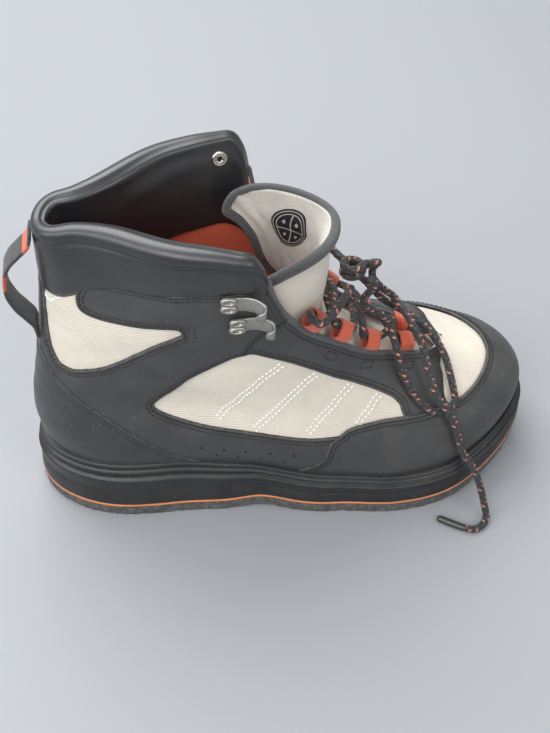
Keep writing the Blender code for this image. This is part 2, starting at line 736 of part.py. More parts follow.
# Where the strands leave the knot, in mm from its middle
LOOP_OUT = [Rest(7.4, 5.1, -2.0), Rest(11.0, 8.0, -6.0)]
LOOP_BACK = [Rest(11.0, -7.5, -6.0), Rest(7.4, -5.1, -2.0)]
END_OUT = [Rest(8.4, 0.0, 3.0), Rest(13.5, 1.0, 2.0)]


def place_on_form(angle, side, level, offset):
    """Point on the form with its directions out, towards the toe along the form, and up along it."""
    point = out_from_form(angle, side, level, offset)
    out = form_normal(angle, side, level)
    ahead = (form_point(angle + 2, side, level) - form_point(angle - 2, side, level)).normalized()
    up = out.cross(ahead).normalized() * (1 if side > 0 else -1)
    ahead = (ahead - out * ahead.dot(out)).normalized()
    return point, out, ahead, up if up.z > 0 else -up


def add_hook(spot, side, label, finish, collection, tools):
    point, out, ahead, up = place_on_form(spot.angle, side, spot.level, GAP * 2 + OVERLAY + HOOK_LIFT)
    line = [Vector((b.ahead / 1000, b.out / 1000)) for b in HOOK_BENDS]
    low, high = [], []
    for i, p in enumerate(line):
        run = line[min(i + 1, len(line) - 1)] - line[max(i - 1, 0)]
        across = Vector((-run.y, run.x)).normalized() * HOOK_PLATE
        low.append(p)
        high.append(p + across)
    sections = []
    for share, narrow in ((-0.5, 1.0), (0.5, 1.0)):
        ring = [point + ahead * q.x + out * q.y + up * HOOK_WIDTH * share for q in low + list(reversed(high))]
        sections.append(ring)
    name = "hook_%s_%s" % (label, spot.name)
    hook = sweep(name, sections, finish, collection)
    for mark, shift in (("a", 0.5), ("b", -0.5)):
        bm = bmesh.new()
        bmesh.ops.create_uvsphere(bm, u_segments=10, v_segments=6, radius=RIVET_RADIUS)
        turn = Matrix((ahead, up, out)).transposed().to_4x4()
        size = Matrix.Diagonal((1.0, 0.78, RIVET_HEIGHT / RIVET_RADIUS, 1.0))
        spot_at = point + out * (HOOK_PLATE - 0.0001) + up * shift * HOOK_WIDTH * 0.52 - ahead * 0.0022
        bm.transform(Matrix.Translation(spot_at) @ turn @ size)
        head = new_object("rivet_%s_%s" % (name, mark), bm, finish, tools)
        head.hide_render = True
        head.display_type = "WIRE"
        union = hook.modifiers.new("rivet_" + mark, "BOOLEAN")
        union.operation = "UNION"
        union.solver = "EXACT"
        union.object = head
    return hook


def ribbon_section(point, out, across, width, thickness):
    half = across * width / 2
    return [point - half, point + half, point + half + out * thickness, point - half + out * thickness]


def loop_frame(net, column):
    """Place of a lace loop at the throat's edge, with its directions out, in towards the throat and up along it."""
    edge = net_point(net, column, ROWS)
    up = (net_point(net, column - 1, ROWS) - net_point(net, column + 1, ROWS)).normalized()
    out = form_normal(*net.at(column, 1.0)[:1], net.side, net.at(column, 1.0)[1])
    out = (out - up * out.dot(up)).normalized()
    into = up.cross(out).normalized() * -net.side
    return edge, out, into, up


def add_lace_loop(name, net, column, finish, collection):
    edge, out, into, up = loop_frame(net, column)
    radius = LOOP_HEIGHT / 2
    straight = LOOP_LENGTH - LOOP_HEIGHT
    start = edge + into * (LOOP_REACH + radius) + out * (radius - LOOP_SINK)
    sections = []
    for i in range(16):
        turn = math.tau * i / 16
        shift = straight if math.cos(turn) > 0 else (straight / 2 if abs(math.cos(turn)) < 1e-6 else 0.0)
        way = into * math.cos(turn) + out * math.sin(turn)
        centre = start + into * shift
        half = up * WEBBING_WIDTH / 2
        outer, inner = centre + way * radius, centre + way * (radius - WEBBING)
        sections.append([outer - half, outer + half, inner + half, inner - half])
    return sweep(name, sections, finish, collection, loop=True)


def smooth_route(points, spacing):
    """A smooth curve through the points, with a point about every spacing."""
    run = [0.0]
    for one, two in zip(points, points[1:]):
        run.append(run[-1] + (two - one).length)
    count = round(run[-1] / spacing)
    places = [run[-1] * i / count for i in range(count + 1)]
    return [Vector([through(run, [p[axis] for p in points], place) for axis in range(3)]) for place in places]


def add_tube(name, points, diameter, finish, collection, resolution=2):
    curve = bpy.data.curves.new(name, "CURVE")
    curve.dimensions = "3D"
    spline = curve.splines.new("POLY")
    spline.points.add(len(points) - 1)
    for knot, p in zip(spline.points, points):
        knot.co = (*p, 1.0)
    curve.bevel_depth = diameter / 2
    curve.bevel_resolution = resolution
    curve.use_fill_caps = True
    obj = bpy.data.objects.new(name, curve)
    curve.materials.append(finish)
    collection.objects.link(obj)
    return obj


def back_based(row):
    return Vector((row.x / 1000 - HEEL_SETBACK, row.y / 1000, row.z / 1000))


def from_knot(row):
    return back_based(KNOT_AT) + Vector((row.x, row.y, row.z)) / 1000


def lying(row):
    return out_from_form(row.angle, row.side, row.level, row.lift / 1000)


def crossing_route(nets):
    """Lace from the knot down through the loops, across the lowest pair and back up to the knot."""
    lateral, medial = nets
    order = [(lateral, 3), (medial, 2), (lateral, 1), (medial, 0), (lateral, 0), (medial, 1), (lateral, 2), (medial, 3)]
    points = []
    stations = []
    for net, loop in order:
        edge, out, into, up = loop_frame(net, LOOP_COLUMNS[loop])
        reach = LOOP_REACH + LOOP_LENGTH - LOOP_HEIGHT / 2
        centre = edge + into * reach + out * (LOOP_HEIGHT / 2 - LOOP_SINK)
        stations.append((centre, out, up))
    for i, (centre, out, up) in enumerate(stations):
        way = -up if i < 4 else up
        points += [centre + way * step for step in (-0.0064, -0.0035, 0.0, 0.0035, 0.0064)]
        if i < len(stations) - 1:
            after, after_out, after_up = stations[i + 1]
            after_way = -after_up if i + 1 < 4 else after_up
            start, end = centre + way * 0.0064, after - after_way * 0.0064
            lift = 0.0078 if i < 3 else 0.0024
            if i == 3:
                points += [start.lerp(end, 0.5) - up * 0.0030]
            else:
                middle = start.lerp(end, 0.5) + (out + after_out).normalized() * lift
                points += [middle]
    return points


def add_laces(nets, finish, tip_finish, collection):
    points = crossing_route(nets)
    knot = back_based(KNOT_AT)
    leads = []
    for net, exit_point, turn in ((nets[0], points[0], -1), (nets[1], points[-1], 1)):
        edge, out, into, up = loop_frame(net, LOOP_COLUMNS[3])
        rise = exit_point + up * LEAD_RISE[0] + out * LEAD_OUT[0]
        bow = exit_point + up * LEAD_RISE[1] + out * LEAD_OUT[1]
        leads.append([knot + Vector((-0.001, LEAD_SPREAD * turn, -LEAD_DROP)), bow, rise])
    route = leads[0] + points + list(reversed(leads[1]))
    add_tube("lace_bars", smooth_route(route, BEND_STEP), LACE, finish, collection)
    turns = []
    for i in range(10 * KNOT_TURNS + 1):
        turn = math.tau * i / 10
        rise = (i / (10 * KNOT_TURNS) - 0.5) * (LACE + 0.0008) * KNOT_TURNS
        turns.append(knot + Vector((KNOT_RADIUS * math.cos(turn), KNOT_RADIUS * math.sin(turn), rise)))
    add_tube("lace_knot", turns, LACE, finish, collection)
    hang = [from_knot(r) for r in LOOP_OUT]
    hang += [lying(r) for r in LOOP_ROUTE]
    hang += [from_knot(r) for r in LOOP_BACK]
    add_tube("lace_loop", smooth_route(hang, HANG_STEP), LACE, finish, collection)
    fall = [from_knot(r) for r in END_OUT]
    fall += [lying(r) for r in END_ROUTE]
    fall += [back_based(r) for r in END_FALL]
    add_tube("lace_end", smooth_route(fall, HANG_STEP), LACE, finish, collection)
    add_tube("aglet", [back_based(r) for r in AGLET_FALL], AGLET, tip_finish, collection)


def add_pull_loop(finish, collection):
    points = [out_from_form(0, -1, h.level, h.out / 1000) for h in PULL_HANGS]
    points = smooth_route(points, PULL_STEP)
    sections = []
    for i, point in enumerate(points):
        run = points[min(i + 1, len(points) - 1)] - points[max(i - 1, 0)]
        out = Vector((run.z, 0, -run.x)).normalized()
        sections.append(ribbon_section(point, out, Vector((0, 1, 0)), PULL_WIDTH, WEBBING * 1.4))
    return sweep("pull_loop", sections, finish, collection)


def build():
    clear_scene()
    boot = bpy.data.collections.new("wading_boot")
    bpy.context.scene.collection.children.link(boot)
    felt = material("felt", (0.055, 0.055, 0.053), 0.95)
    orange = material("orange_rubber", (0.62, 0.22, 0.08), 0.6)
    black_rubber = material("black_rubber", (0.015, 0.015, 0.016), 0.45)
    textile = material("cream_textile", (0.62, 0.58, 0.50), 0.85)
    leather = material("charcoal_leather", (0.045, 0.045, 0.047), 0.7)
    lining = material("lining", (0.45, 0.07, 0.03), 0.9)
    nets = (Net(-1), Net(1))
    add_outsole(felt, boot)
    add_bond_line(orange, boot)
    add_midsole(black_rubber, boot)
    add_insole(lining, boot)
    padding = material("black_padding", (0.012, 0.012, 0.013), 0.4)
    suede = material("grey_suede", (0.42, 0.40, 0.36), 0.95)
    add_upper(nets, textile, boot)
    add_panels(nets, leather, black_rubber, boot)
    add_collar(nets, padding, boot)
    add_tongue(suede, boot)
    webbing = material("orange_webbing", (0.55, 0.10, 0.04), 0.85)
    cord = material("black_cord", (0.02, 0.02, 0.021), 0.8)
    metal = material("gunmetal", (0.30, 0.29, 0.28), 0.35, metallic=1.0)
    tip = material("black_plastic", (0.02, 0.02, 0.02), 0.35)
    tools = bpy.data.collections.new("cutters")
    bpy.context.scene.collection.children.link(tools)
    for net, label in zip(nets, ("lateral", "medial")):
        for spot in HOOKS:
            add_hook(spot, net.side, label, metal, boot, tools)
        for number, column in enumerate(LOOP_COLUMNS, 1):
            add_lace_loop("webbing_loop_%s_%d" % (label, number), net, column, webbing, boot)
    add_laces(nets, cord, tip, boot)
    add_pull_loop(cord, boot)


build()
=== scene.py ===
# %% [markdown]
# # Finishing a wading boot
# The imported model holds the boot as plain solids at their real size: sole, upper, collar, tongue, lace and
# trim. This lesson dresses them with fine meshes bent over the same form, real stitches, a braided lace and
# procedural materials. Nothing is moved or resized, so each piece sits where its solid sits.

# %% Load the solids
import math
from collections import namedtuple

import bmesh
import bpy
import numpy as np
from mathutils import Matrix, Vector
from mathutils.geometry import delaunay_2d_cdt


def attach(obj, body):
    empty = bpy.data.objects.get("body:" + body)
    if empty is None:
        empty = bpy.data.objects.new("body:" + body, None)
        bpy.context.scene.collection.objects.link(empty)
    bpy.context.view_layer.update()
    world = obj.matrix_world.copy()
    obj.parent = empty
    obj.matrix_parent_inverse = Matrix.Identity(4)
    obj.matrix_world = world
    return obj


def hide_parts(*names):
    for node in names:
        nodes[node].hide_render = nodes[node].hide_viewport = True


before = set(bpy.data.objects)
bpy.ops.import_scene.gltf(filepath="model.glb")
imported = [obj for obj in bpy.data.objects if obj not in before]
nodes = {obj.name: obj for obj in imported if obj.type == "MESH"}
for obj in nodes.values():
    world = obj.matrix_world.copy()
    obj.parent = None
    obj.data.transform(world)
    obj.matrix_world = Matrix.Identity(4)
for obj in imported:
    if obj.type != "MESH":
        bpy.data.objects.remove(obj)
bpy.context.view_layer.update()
print("solids:", len(nodes))

# %% [markdown]
# ## The boot's form
# A boot is pulled over a last, a foot-shaped block. Here the last is a formula: ten level sections from the
# feather edge, where the upper meets the sole, to the rim. A place on it has a turn in degrees, from the
# heel along the outer side to the toe and back along the inner side, and a level from 0 to 9. Every piece
# of the upper is drawn flat in turn and level and then bent onto the form, so pieces always lie true on
# each other.

# %% Sizes of the boot, in metres
LENGTH, BALL_WIDTH, HEEL_WIDTH, HEEL_SETBACK = 0.305, 0.1225, 0.083, 0.045
HEEL_STACK, FORE_STACK, TOE_SPRING, ARCH_RISE, TOE_SWING = 0.049, 0.0335, 0.019, 0.004, 0.006
INSTEP_RISE, SHAFT_RISE, COLLAR_CROWN, WALL = 0.060, 0.166, 0.006, 0.003
LACE = 0.0046
GAP = 0.0003
BALL_AT = 0.72

Plan = namedtuple("Plan", "along lateral medial")
SOLE_PLAN = [
    Plan(0.00, 0.765, 0.765), Plan(0.12, 0.692, 0.692), Plan(0.22, 0.598, 0.575),
    Plan(0.34, 0.500, 0.430), Plan(0.45, 0.430, 0.345), Plan(0.58, 0.450, 0.390),
    Plan(0.72, 0.547, 0.515), Plan(0.86, 0.613, 0.640), Plan(1.00, 0.600, 0.740),
]
Section = namedtuple("Section", "name instep shaft back front lateral medial foot pinch front_round")
SECTIONS = [
    Section("feather", 0.00, 0.00, 0.023, 0.980, 0.440, 0.405, 1.00, 0.00, 1.00),
    Section("rand", 0.18, 0.00, 0.016, 0.985, 0.455, 0.422, 1.00, 0.00, 1.00),
    Section("toe_box", 0.38, 0.00, 0.013, 0.968, 0.436, 0.408, 1.00, 0.00, 1.00),
    Section("toe_crown", 0.58, 0.00, 0.016, 0.918, 0.385, 0.390, 0.95, 0.00, 1.00),
    Section("vamp", 0.77, 0.00, 0.023, 0.820, 0.335, 0.365, 0.80, 0.00, 1.00),
    Section("instep", 0.93, 0.04, 0.033, 0.700, 0.312, 0.352, 0.50, 0.00, 0.95),
    Section("ankle_low", 1.00, 0.23, 0.048, 0.615, 0.312, 0.345, 0.20, 0.04, 0.90),
    Section("ankle", 1.00, 0.47, 0.062, 0.555, 0.330, 0.345, 0.00, 0.14, 0.75),
    Section("shaft", 1.00, 0.73, 0.074, 0.520, 0.355, 0.375, 0.00, 0.36, 0.62),
    Section("rim", 1.00, 1.00, 0.078, 0.508, 0.385, 0.430, 0.00, 0.58, 0.52),
]
TOP = len(SECTIONS) - 1
Edge = namedtuple("Edge", "lateral medial level")
TOPLINE = [
    Edge(0, 0, 9.0), Edge(60, 60, 9.0), Edge(106, 106, 9.0), Edge(117, 117, 8.75), Edge(124, 123, 8.1),
    Edge(131, 128, 7.2), Edge(141, 134, 6.3), Edge(152, 144, 5.5), Edge(161, 155, 4.9), Edge(168, 165, 4.4),
    Edge(180, 180, 4.1),
]


# %% The form as a formula
def column(rows, name):
    return [getattr(row, name) for row in rows]


def smooth_step(value, low, high):
    share = np.clip((np.asarray(value, float) - low) / (high - low), 0.0, 1.0)
    return share * share * (3.0 - 2.0 * share)


def through(places, values, place):
    """A smooth curve through the values that never overshoots them. Works on whole arrays of places."""
    places, values = np.asarray(places, float), np.asarray(values, float)
    steps = np.diff(places)
    slopes = np.diff(values) / steps
    tangents = np.zeros(len(values))
    for i in range(1, len(values) - 1):
        if slopes[i - 1] * slopes[i] > 0:
            near, far = 2 * steps[i] + steps[i - 1], steps[i] + 2 * steps[i - 1]
            tangents[i] = (near + far) / (near / slopes[i - 1] + far / slopes[i])
    tangents[0], tangents[-1] = slopes[0], slopes[-1]
    place = np.clip(place, places[0], places[-1])
    i = np.clip(np.searchsorted(places, place, side="right") - 1, 0, len(steps) - 1)
    t = (place - places[i]) / steps[i]
    start = (1 + 2 * t) * (1 - t) ** 2 * values[i] + t * (1 - t) ** 2 * steps[i] * tangents[i]
    return start + t * t * (3 - 2 * t) * values[i + 1] + t * t * (t - 1) * steps[i] * tangents[i + 1]


def run_of(points):
    """The length run along a line of points, at each of them."""
    return np.concatenate([[0.0], np.cumsum(np.linalg.norm(np.diff(points, axis=0), axis=1))])


def floor_height(along):
    arch = np.where(
        (along > 0.33) & (along < 0.56), ARCH_RISE * np.exp(-(((along - 0.445) / 0.055) ** 2)), 0.0
    )
    return arch + TOE_SPRING * np.clip((along - 0.74) / 0.26, 0, None) ** 2


def feather_height(along):
    stack = HEEL_STACK + (FORE_STACK - HEEL_STACK) * smooth_step(along, 0.22, 0.66)
    return stack + TOE_SPRING * 0.9 * np.clip((along - 0.74) / 0.26, 0, None) ** 2


def centre_line(along):
    return TOE_SWING * smooth_step(along, 0.3, 1.0)


def half_width(along, medial):
    """Half-width of the sole at a share of its length, on the medial or the lateral side."""
    shares = [
        through(column(SOLE_PLAN, "along"), column(SOLE_PLAN, side), along) for side in ("lateral", "medial")
    ]
    width = HEEL_WIDTH + (BALL_WIDTH - HEEL_WIDTH) * smooth_step(along, 0.25, 0.60)
    return np.where(medial, shares[1], shares[0]) * width


def form(turn, level):
    """Points of the boot's outer form, as an array whose last axis is x, y, z."""
    turn, level = np.broadcast_arrays(np.asarray(turn, float) % 360, np.clip(level, 0.0, TOP))
    medial = turn > 180
    angle = np.radians(np.where(medial, 360 - turn, turn))
    cosine, sine = np.cos(angle), np.clip(np.sin(angle), 0.0, None)
    at = {name: through(range(TOP + 1), column(SECTIONS, name), level) for name in Section._fields[1:]}
    roundness = np.where(cosine > 0, 1.0, at["front_round"])
    rearward = (1 + cosine) / 2
    pinch = at["pinch"] * smooth_step(rearward, 0.3, 0.85) * (1 - 0.35 * smooth_step(rearward, 0.85, 1.0))
    along_foot = (1 - cosine) / 2
    along_ankle = 0.5 - 0.5 * np.sign(cosine) * np.abs(cosine) ** roundness
    along = along_ankle + (along_foot - along_ankle) * at["foot"]
    ball = half_width(BALL_AT, medial) * math.sqrt(BALL_AT * (1 - BALL_AT)) * 2
    width_foot = half_width(along_foot, medial) * sine / ball
    width_ankle = (1 - pinch) * sine ** roundness
    width = width_ankle + (width_foot - width_ankle) * at["foot"]
    share = at["back"] + (at["front"] - at["back"]) * along
    half = np.where(medial, at["medial"], -at["lateral"]) * BALL_WIDTH * width
    fade = 1 - smooth_step(level, 1.5, 7.0)
    height = HEEL_STACK + (feather_height(share) - HEEL_STACK) * fade
    height = height + at["instep"] * INSTEP_RISE + at["shaft"] * (SHAFT_RISE - INSTEP_RISE)
    height = height + COLLAR_CROWN * sine ** 1.5 * smooth_step(level, 6.0, 9.0)
    return np.stack([share * LENGTH - HEEL_SETBACK, centre_line(share) * at["foot"] + half, height], -1)


def unit(vectors):
    return vectors / np.maximum(np.linalg.norm(vectors, axis=-1, keepdims=True), 1e-12)


def ways(turn, level):
    """How the form moves for one degree and for one level, and its outward normal."""
    middle = np.clip(np.asarray(level, float), 0.05, TOP - 0.05)
    per_degree = (form(np.asarray(turn) + 1.5, level) - form(np.asarray(turn) - 1.5, level)) / 3.0
    per_level = (form(turn, middle + 0.05) - form(turn, middle - 0.05)) / 0.1
    return per_degree, per_level, unit(np.cross(per_degree, per_level))


def on_form(turn, level, lift=0.0):
    return form(turn, level) + ways(turn, level)[2] * np.asarray(lift, float)[..., None]


print("toe of the form: %.0f mm ahead of the heel's rest" % (form(180, 1)[0] * 1000))

# %% [markdown]
# ## The camera
# The photograph was taken from the outer side and well above. The camera keeps that place and that angle,
# and it is aimed and zoomed so that the whole boot fills an upright frame.

# %% Camera
CAMERA_AT = Vector((0.0446, -0.4074, 0.5896))
CAMERA_AIM = Vector((0.100, -0.010, 0.096))
CAMERA_ROLL = math.radians(1.3)
CAMERA_LENS = 53.0
SENSOR = 36.0

camera = bpy.data.objects.new("camera", bpy.data.cameras.new("camera"))
bpy.context.scene.collection.objects.link(camera)
back = (CAMERA_AT - CAMERA_AIM).normalized()
right = Vector((0, 0, 1)).cross(back).normalized()
turned = Matrix((right, back.cross(right), back)).transposed() @ Matrix.Rotation(CAMERA_ROLL, 3, "Z")
camera.matrix_world = Matrix.Translation(CAMERA_AT) @ turned.to_4x4()
camera.data.sensor_fit = "AUTO"
camera.data.sensor_width = SENSOR
camera.data.lens = CAMERA_LENS
bpy.context.scene.camera = camera
print("camera to boot: %.2f m" % (CAMERA_AT - CAMERA_AIM).length)

# %% [markdown]
# ## Shared effects
# Real surfaces are never one flat colour. Grain, weave, dust and specks turn up on several materials, so
# each is a node group that puts out a height or a mask. A material mixes them with its own strength.

# %% Node helpers
def put(tree, kind, inputs=(), **properties):
    """Add a node with its properties and inputs; an input that is a socket is linked."""
    made = tree.nodes.new(kind)
    for name, value in properties.items():
        setattr(made, name, value)
    for name, value in dict(inputs).items():
        if isinstance(value, bpy.types.NodeSocket):
            tree.links.new(value, made.inputs[name])
        else:
            made.inputs[name].default_value = value
    return made


def calc(tree, operation, first, second=0.0, third=0.0, clamp=False):
    pairs = {0: first, 1: second, 2: third}
    return put(tree, "ShaderNodeMath", pairs, operation=operation, use_clamp=clamp).outputs[0]


def span(tree, value, low, high, start=0.0, end=1.0):
    """Spread a value between low and high over start to end."""
    pairs = {"Value": value, "From Min": low, "From Max": high, "To Min": start, "To Max": end}
    return put(tree, "ShaderNodeMapRange", pairs, interpolation_type="SMOOTHSTEP").outputs[0]


def noise_at(tree, place, scale, detail=3.0, rough=0.5):
    pairs = {"Vector": place, "Scale": scale, "Detail": detail, "Roughness": rough}
    return put(tree, "ShaderNodeTexNoise", pairs).outputs["Fac"]


def effect(name, inputs, outputs):
    """An empty node group with named numbers in and out: the group, its inputs and its output node."""
    group = bpy.data.node_groups.new(name, "ShaderNodeTree")
    for label, value in inputs.items():
        group.interface.new_socket(label, in_out="INPUT", socket_type="NodeSocketFloat").default_value = value
    for label in outputs:
        group.interface.new_socket(label, in_out="OUTPUT", socket_type="NodeSocketFloat")
    entry, leave = group.nodes.new("NodeGroupInput"), group.nodes.new("NodeGroupOutput")
    return group, entry.outputs, leave


def own_place(tree, kind="Object"):
    return put(tree, "ShaderNodeTexCoord").outputs[kind]


def own_noise(tree, *settings):
    """Noise at the piece's own place, with the scale, detail and roughness of noise_at."""
    return noise_at(tree, own_place(tree), *settings)


def own_uv(tree):
    """The piece's own UV map, split into X and Y."""
    return put(tree, "ShaderNodeSeparateXYZ", {0: own_place(tree, "UV")})


# %% Leather grain
grain, given, leave = effect("leather_grain", {"Scale": 900.0}, ["Height"])
place = own_place(grain)
cells = put(
    grain, "ShaderNodeTexVoronoi", {"Vector": place, "Scale": given["Scale"]}, feature="DISTANCE_TO_EDGE"
)
pores = noise_at(grain, place, 2600.0, 2.0)
soft = noise_at(grain, place, 160.0, 3.0)
ridged = span(grain, cells.outputs["Distance"], 0.0, 0.25)
total = calc(grain, "MULTIPLY_ADD", ridged, 0.5, calc(grain, "MULTIPLY_ADD", pores, 0.35, soft))
grain.links.new(total, leave.inputs["Height"])

# %% Ribbed weave, in the piece's own UV map, which is in metres
weave, given, leave = effect("rib_weave", {"Rib": 0.0011, "Thread": 0.0007}, ["Height", "Shade"])
uv = own_uv(weave)
wobble = noise_at(weave, own_place(weave), 90.0, 2.0)
across = calc(weave, "DIVIDE", uv.outputs["X"], given["Thread"])
along = calc(weave, "DIVIDE", uv.outputs["Y"], given["Rib"])
along = calc(weave, "MULTIPLY_ADD", wobble, 0.7, along)
shifted = calc(weave, "MULTIPLY_ADD", calc(weave, "FLOOR", along), 0.5, across)
rib = calc(weave, "ABSOLUTE", calc(weave, "SINE", calc(weave, "MULTIPLY", along, math.pi)))
thread = calc(weave, "ABSOLUTE", calc(weave, "SINE", calc(weave, "MULTIPLY", shifted, math.pi)))
height = calc(
    weave, "MULTIPLY", calc(weave, "POWER", rib, 0.6), calc(weave, "MULTIPLY_ADD", thread, 0.35, 0.65)
)
weave.links.new(height, leave.inputs["Height"])
# Shade is low in the valleys between the ribs, with a little random tone; materials mix it into the colour as
# painted shade
weave.links.new(
    calc(weave, "MULTIPLY_ADD", height, 0.8, calc(weave, "MULTIPLY", wobble, 0.4)), leave.inputs["Shade"]
)

# %% Dust that gathers in patches, more on what faces up
dust, given, leave = effect("settled_dust", {"Amount": 0.5, "Scale": 35.0}, ["Mask"])
place = own_place(dust)
patches = span(dust, noise_at(dust, place, given["Scale"], 6.0, 0.65), 0.42, 0.78)
fine = span(dust, noise_at(dust, place, 1500.0, 2.0), 0.45, 0.75)
facing = put(
    dust, "ShaderNodeSeparateXYZ", {0: put(dust, "ShaderNodeNewGeometry").outputs["Normal"]}
).outputs["Z"]
upward = span(dust, facing, -0.3, 1.0, 0.35, 1.0)
mask = calc(
    dust, "MULTIPLY", calc(dust, "MULTIPLY", patches, upward), calc(dust, "MULTIPLY_ADD", fine, 0.7, 0.3)
)
dust.links.new(calc(dust, "MULTIPLY", mask, given["Amount"], clamp=True), leave.inputs["Mask"])

# %% Pale specks and lint
specks, given, leave = effect("pale_specks", {"Scale": 420.0, "Share": 0.12}, ["Mask"])
spots = put(specks, "ShaderNodeTexVoronoi", {"Vector": own_place(specks), "Scale": given["Scale"]})
chance = put(specks, "ShaderNodeSeparateColor", {0: spots.outputs["Color"]}).outputs["Red"]
near = calc(specks, "LESS_THAN", spots.outputs["Distance"], 0.13)
specks.links.new(
    calc(specks, "MULTIPLY", near, calc(specks, "LESS_THAN", chance, given["Share"])), leave.inputs["Mask"]
)
print("effects:", ", ".join(g.name for g in bpy.data.node_groups))

# %% [markdown]
# ## Materials
# Each finish starts from a Principled shader with the part's own colour, roughness and sheen. Grain or
# weave feeds a bump node, and dust or specks are mixed into the colour. Woven parts and the braided lace
# also get painted shade in their valleys or painted highlights on their crowns. Strengths are small, as on
# clean, worn-in goods.

# %% A material with its colour, bump and dust
def use(tree, group_name, output, **inputs):
    made = put(tree, "ShaderNodeGroup", node_tree=bpy.data.node_groups[group_name])
    for name, value in inputs.items():
        made.inputs[name].default_value = value
    return made.outputs[output]


def blend(tree, share, first, second):
    mixed = put(tree, "ShaderNodeMix", data_type="RGBA")
    for index, value in ((0, share), (6, first), (7, second)):
        if isinstance(value, bpy.types.NodeSocket):
            tree.links.new(value, mixed.inputs[index])
        else:
            mixed.inputs[index].default_value = value
    return mixed.outputs[2]


def finish(name, colour, roughness, **shader_values):
    """A new material. Returns it with its node tree and its Principled shader."""
    made = bpy.data.materials.new(name)
    made.use_nodes = True
    tree = made.node_tree
    shader = tree.nodes["Principled BSDF"]
    shader.inputs["Base Color"].default_value = (*colour, 1.0)
    shader.inputs["Roughness"].default_value = roughness
    for label, value in shader_values.items():
        shader.inputs[label.replace("_", " ")].default_value = value
    return made, tree, shader


def bump(tree, shader, height, strength, distance):
    pairs = {"Height": height, "Strength": strength, "Distance": distance}
    tree.links.new(put(tree, "ShaderNodeBump", pairs).outputs["Normal"], shader.inputs["Normal"])


def colour_with(tree, shader, *layers):
    """Lay colours over the base colour, each with its mask."""
    top = tuple(shader.inputs["Base Color"].default_value)
    for mask, colour in layers:
        top = blend(tree, mask, top, (*colour, 1.0))
    tree.links.new(top, shader.inputs["Base Color"])


DUST = (0.30, 0.28, 0.25)
LINT = (0.50, 0.48, 0.44)

# %% Cream textile
cream, tree, shader = finish(
    "cream_textile", (0.74, 0.68, 0.575), 0.88, Sheen_Weight=0.25, Sheen_Roughness=0.6
)
rib_height = use(tree, "rib_weave", "Height", Rib=0.00115, Thread=0.0008)
rib_painted_shade = use(tree, "rib_weave", "Shade", Rib=0.00115, Thread=0.0008)
stain = span(tree, own_noise(tree, 28.0, 5.0), 0.45, 0.8, 0.0, 0.22)
# The cream is darker in the valleys between the ribs: painted shade, with a little random tone. The stain
# patches are real staining.
colour_with(
    tree, shader, (span(tree, rib_painted_shade, 0.9, 0.1, 0.0, 0.85), (0.40, 0.335, 0.24)),
    (stain, (0.50, 0.45, 0.37))
)
bump(tree, shader, rib_height, 0.75, 0.00035)

# %% Charcoal leather, a matt synthetic nubuck
def nubuck(name, colour, roughness, dust_amount, grain_depth=0.00012):
    made, tree, shader = finish(name, colour, roughness, Sheen_Weight=0.05, Sheen_Roughness=0.5)
    shader.inputs["Sheen Tint"].default_value = (0.6, 0.6, 0.62, 1.0)
    mottle = span(tree, own_noise(tree, 45.0, 5.0), 0.35, 0.7)
    lighter = tuple(1.3 * c for c in colour)
    darker = tuple(0.45 * c for c in colour)
    gap = put(tree, "ShaderNodeAttribute", attribute_name="edge_gap").outputs["Fac"]
    worn = calc(
        tree, "MULTIPLY", span(tree, gap, 0.0011, 0.0004),
        span(tree, own_noise(tree, 220.0, 4.0), 0.40, 0.65, 0.0, 0.7)
    )
    sewn = calc(
        tree, "MAXIMUM",
        *[
            span(tree, calc(tree, "ABSOLUTE", calc(tree, "SUBTRACT", gap, at)), 0.0008, 0.0002, 0.0, 0.8)
            for at in (0.0021, 0.0043)
        ]
    )
    dusty = use(tree, "settled_dust", "Mask", Amount=dust_amount, Scale=38.0)
    lint = use(tree, "pale_specks", "Mask", Scale=700.0, Share=0.025)
    colour_with(
        tree, shader, (mottle, lighter), (sewn, darker), (worn, tuple(2.6 * c for c in colour)),
        (dusty, DUST), (lint, LINT)
    )
    tree.links.new(span(tree, dusty, 0.0, 0.6, roughness, 0.92), shader.inputs["Roughness"])
    bump(tree, shader, use(tree, "leather_grain", "Height", Scale=1300.0), 0.5, grain_depth)
    return made


charcoal = nubuck("charcoal_leather", (0.037, 0.0365, 0.0365), 0.52, 0.14)
toe_rubber = nubuck("coated_toe_cap", (0.036, 0.0355, 0.035), 0.50, 0.30, 0.00009)
counter_skin = nubuck("smooth_counter", (0.028, 0.028, 0.030), 0.46, 0.18, 0.00005)

# %% Black padding, smooth and satin
padding, tree, shader = finish(
    "black_padding", (0.013, 0.0135, 0.015), 0.40, Coat_Weight=0.45, Coat_Roughness=0.30
)
smear = span(tree, own_noise(tree, 22.0, 4.0), 0.3, 0.75, 0.34, 0.50)
lint = use(tree, "pale_specks", "Mask", Scale=650.0, Share=0.02)
colour_with(
    tree, shader, (use(tree, "settled_dust", "Mask", Amount=0.03, Scale=30.0), DUST),
    (lint, (0.25, 0.25, 0.25))
)
tree.links.new(smear, shader.inputs["Roughness"])
bump(tree, shader, use(tree, "leather_grain", "Height", Scale=1700.0), 0.45, 0.00007)

# %% Rubber, felt and the bonding layer
sole_rubber, tree, shader = finish("black_rubber", (0.013, 0.013, 0.013), 0.38)
dusty = use(tree, "settled_dust", "Mask", Amount=0.40, Scale=26.0)
lint = use(tree, "pale_specks", "Mask", Scale=700.0, Share=0.10)
colour_with(tree, shader, (dusty, (0.17, 0.16, 0.15)), (lint, (0.33, 0.32, 0.30)))
tree.links.new(span(tree, dusty, 0.0, 0.5, 0.40, 0.85), shader.inputs["Roughness"])
bump(tree, shader, own_noise(tree, 900.0, 4.0), 0.25, 0.0002)

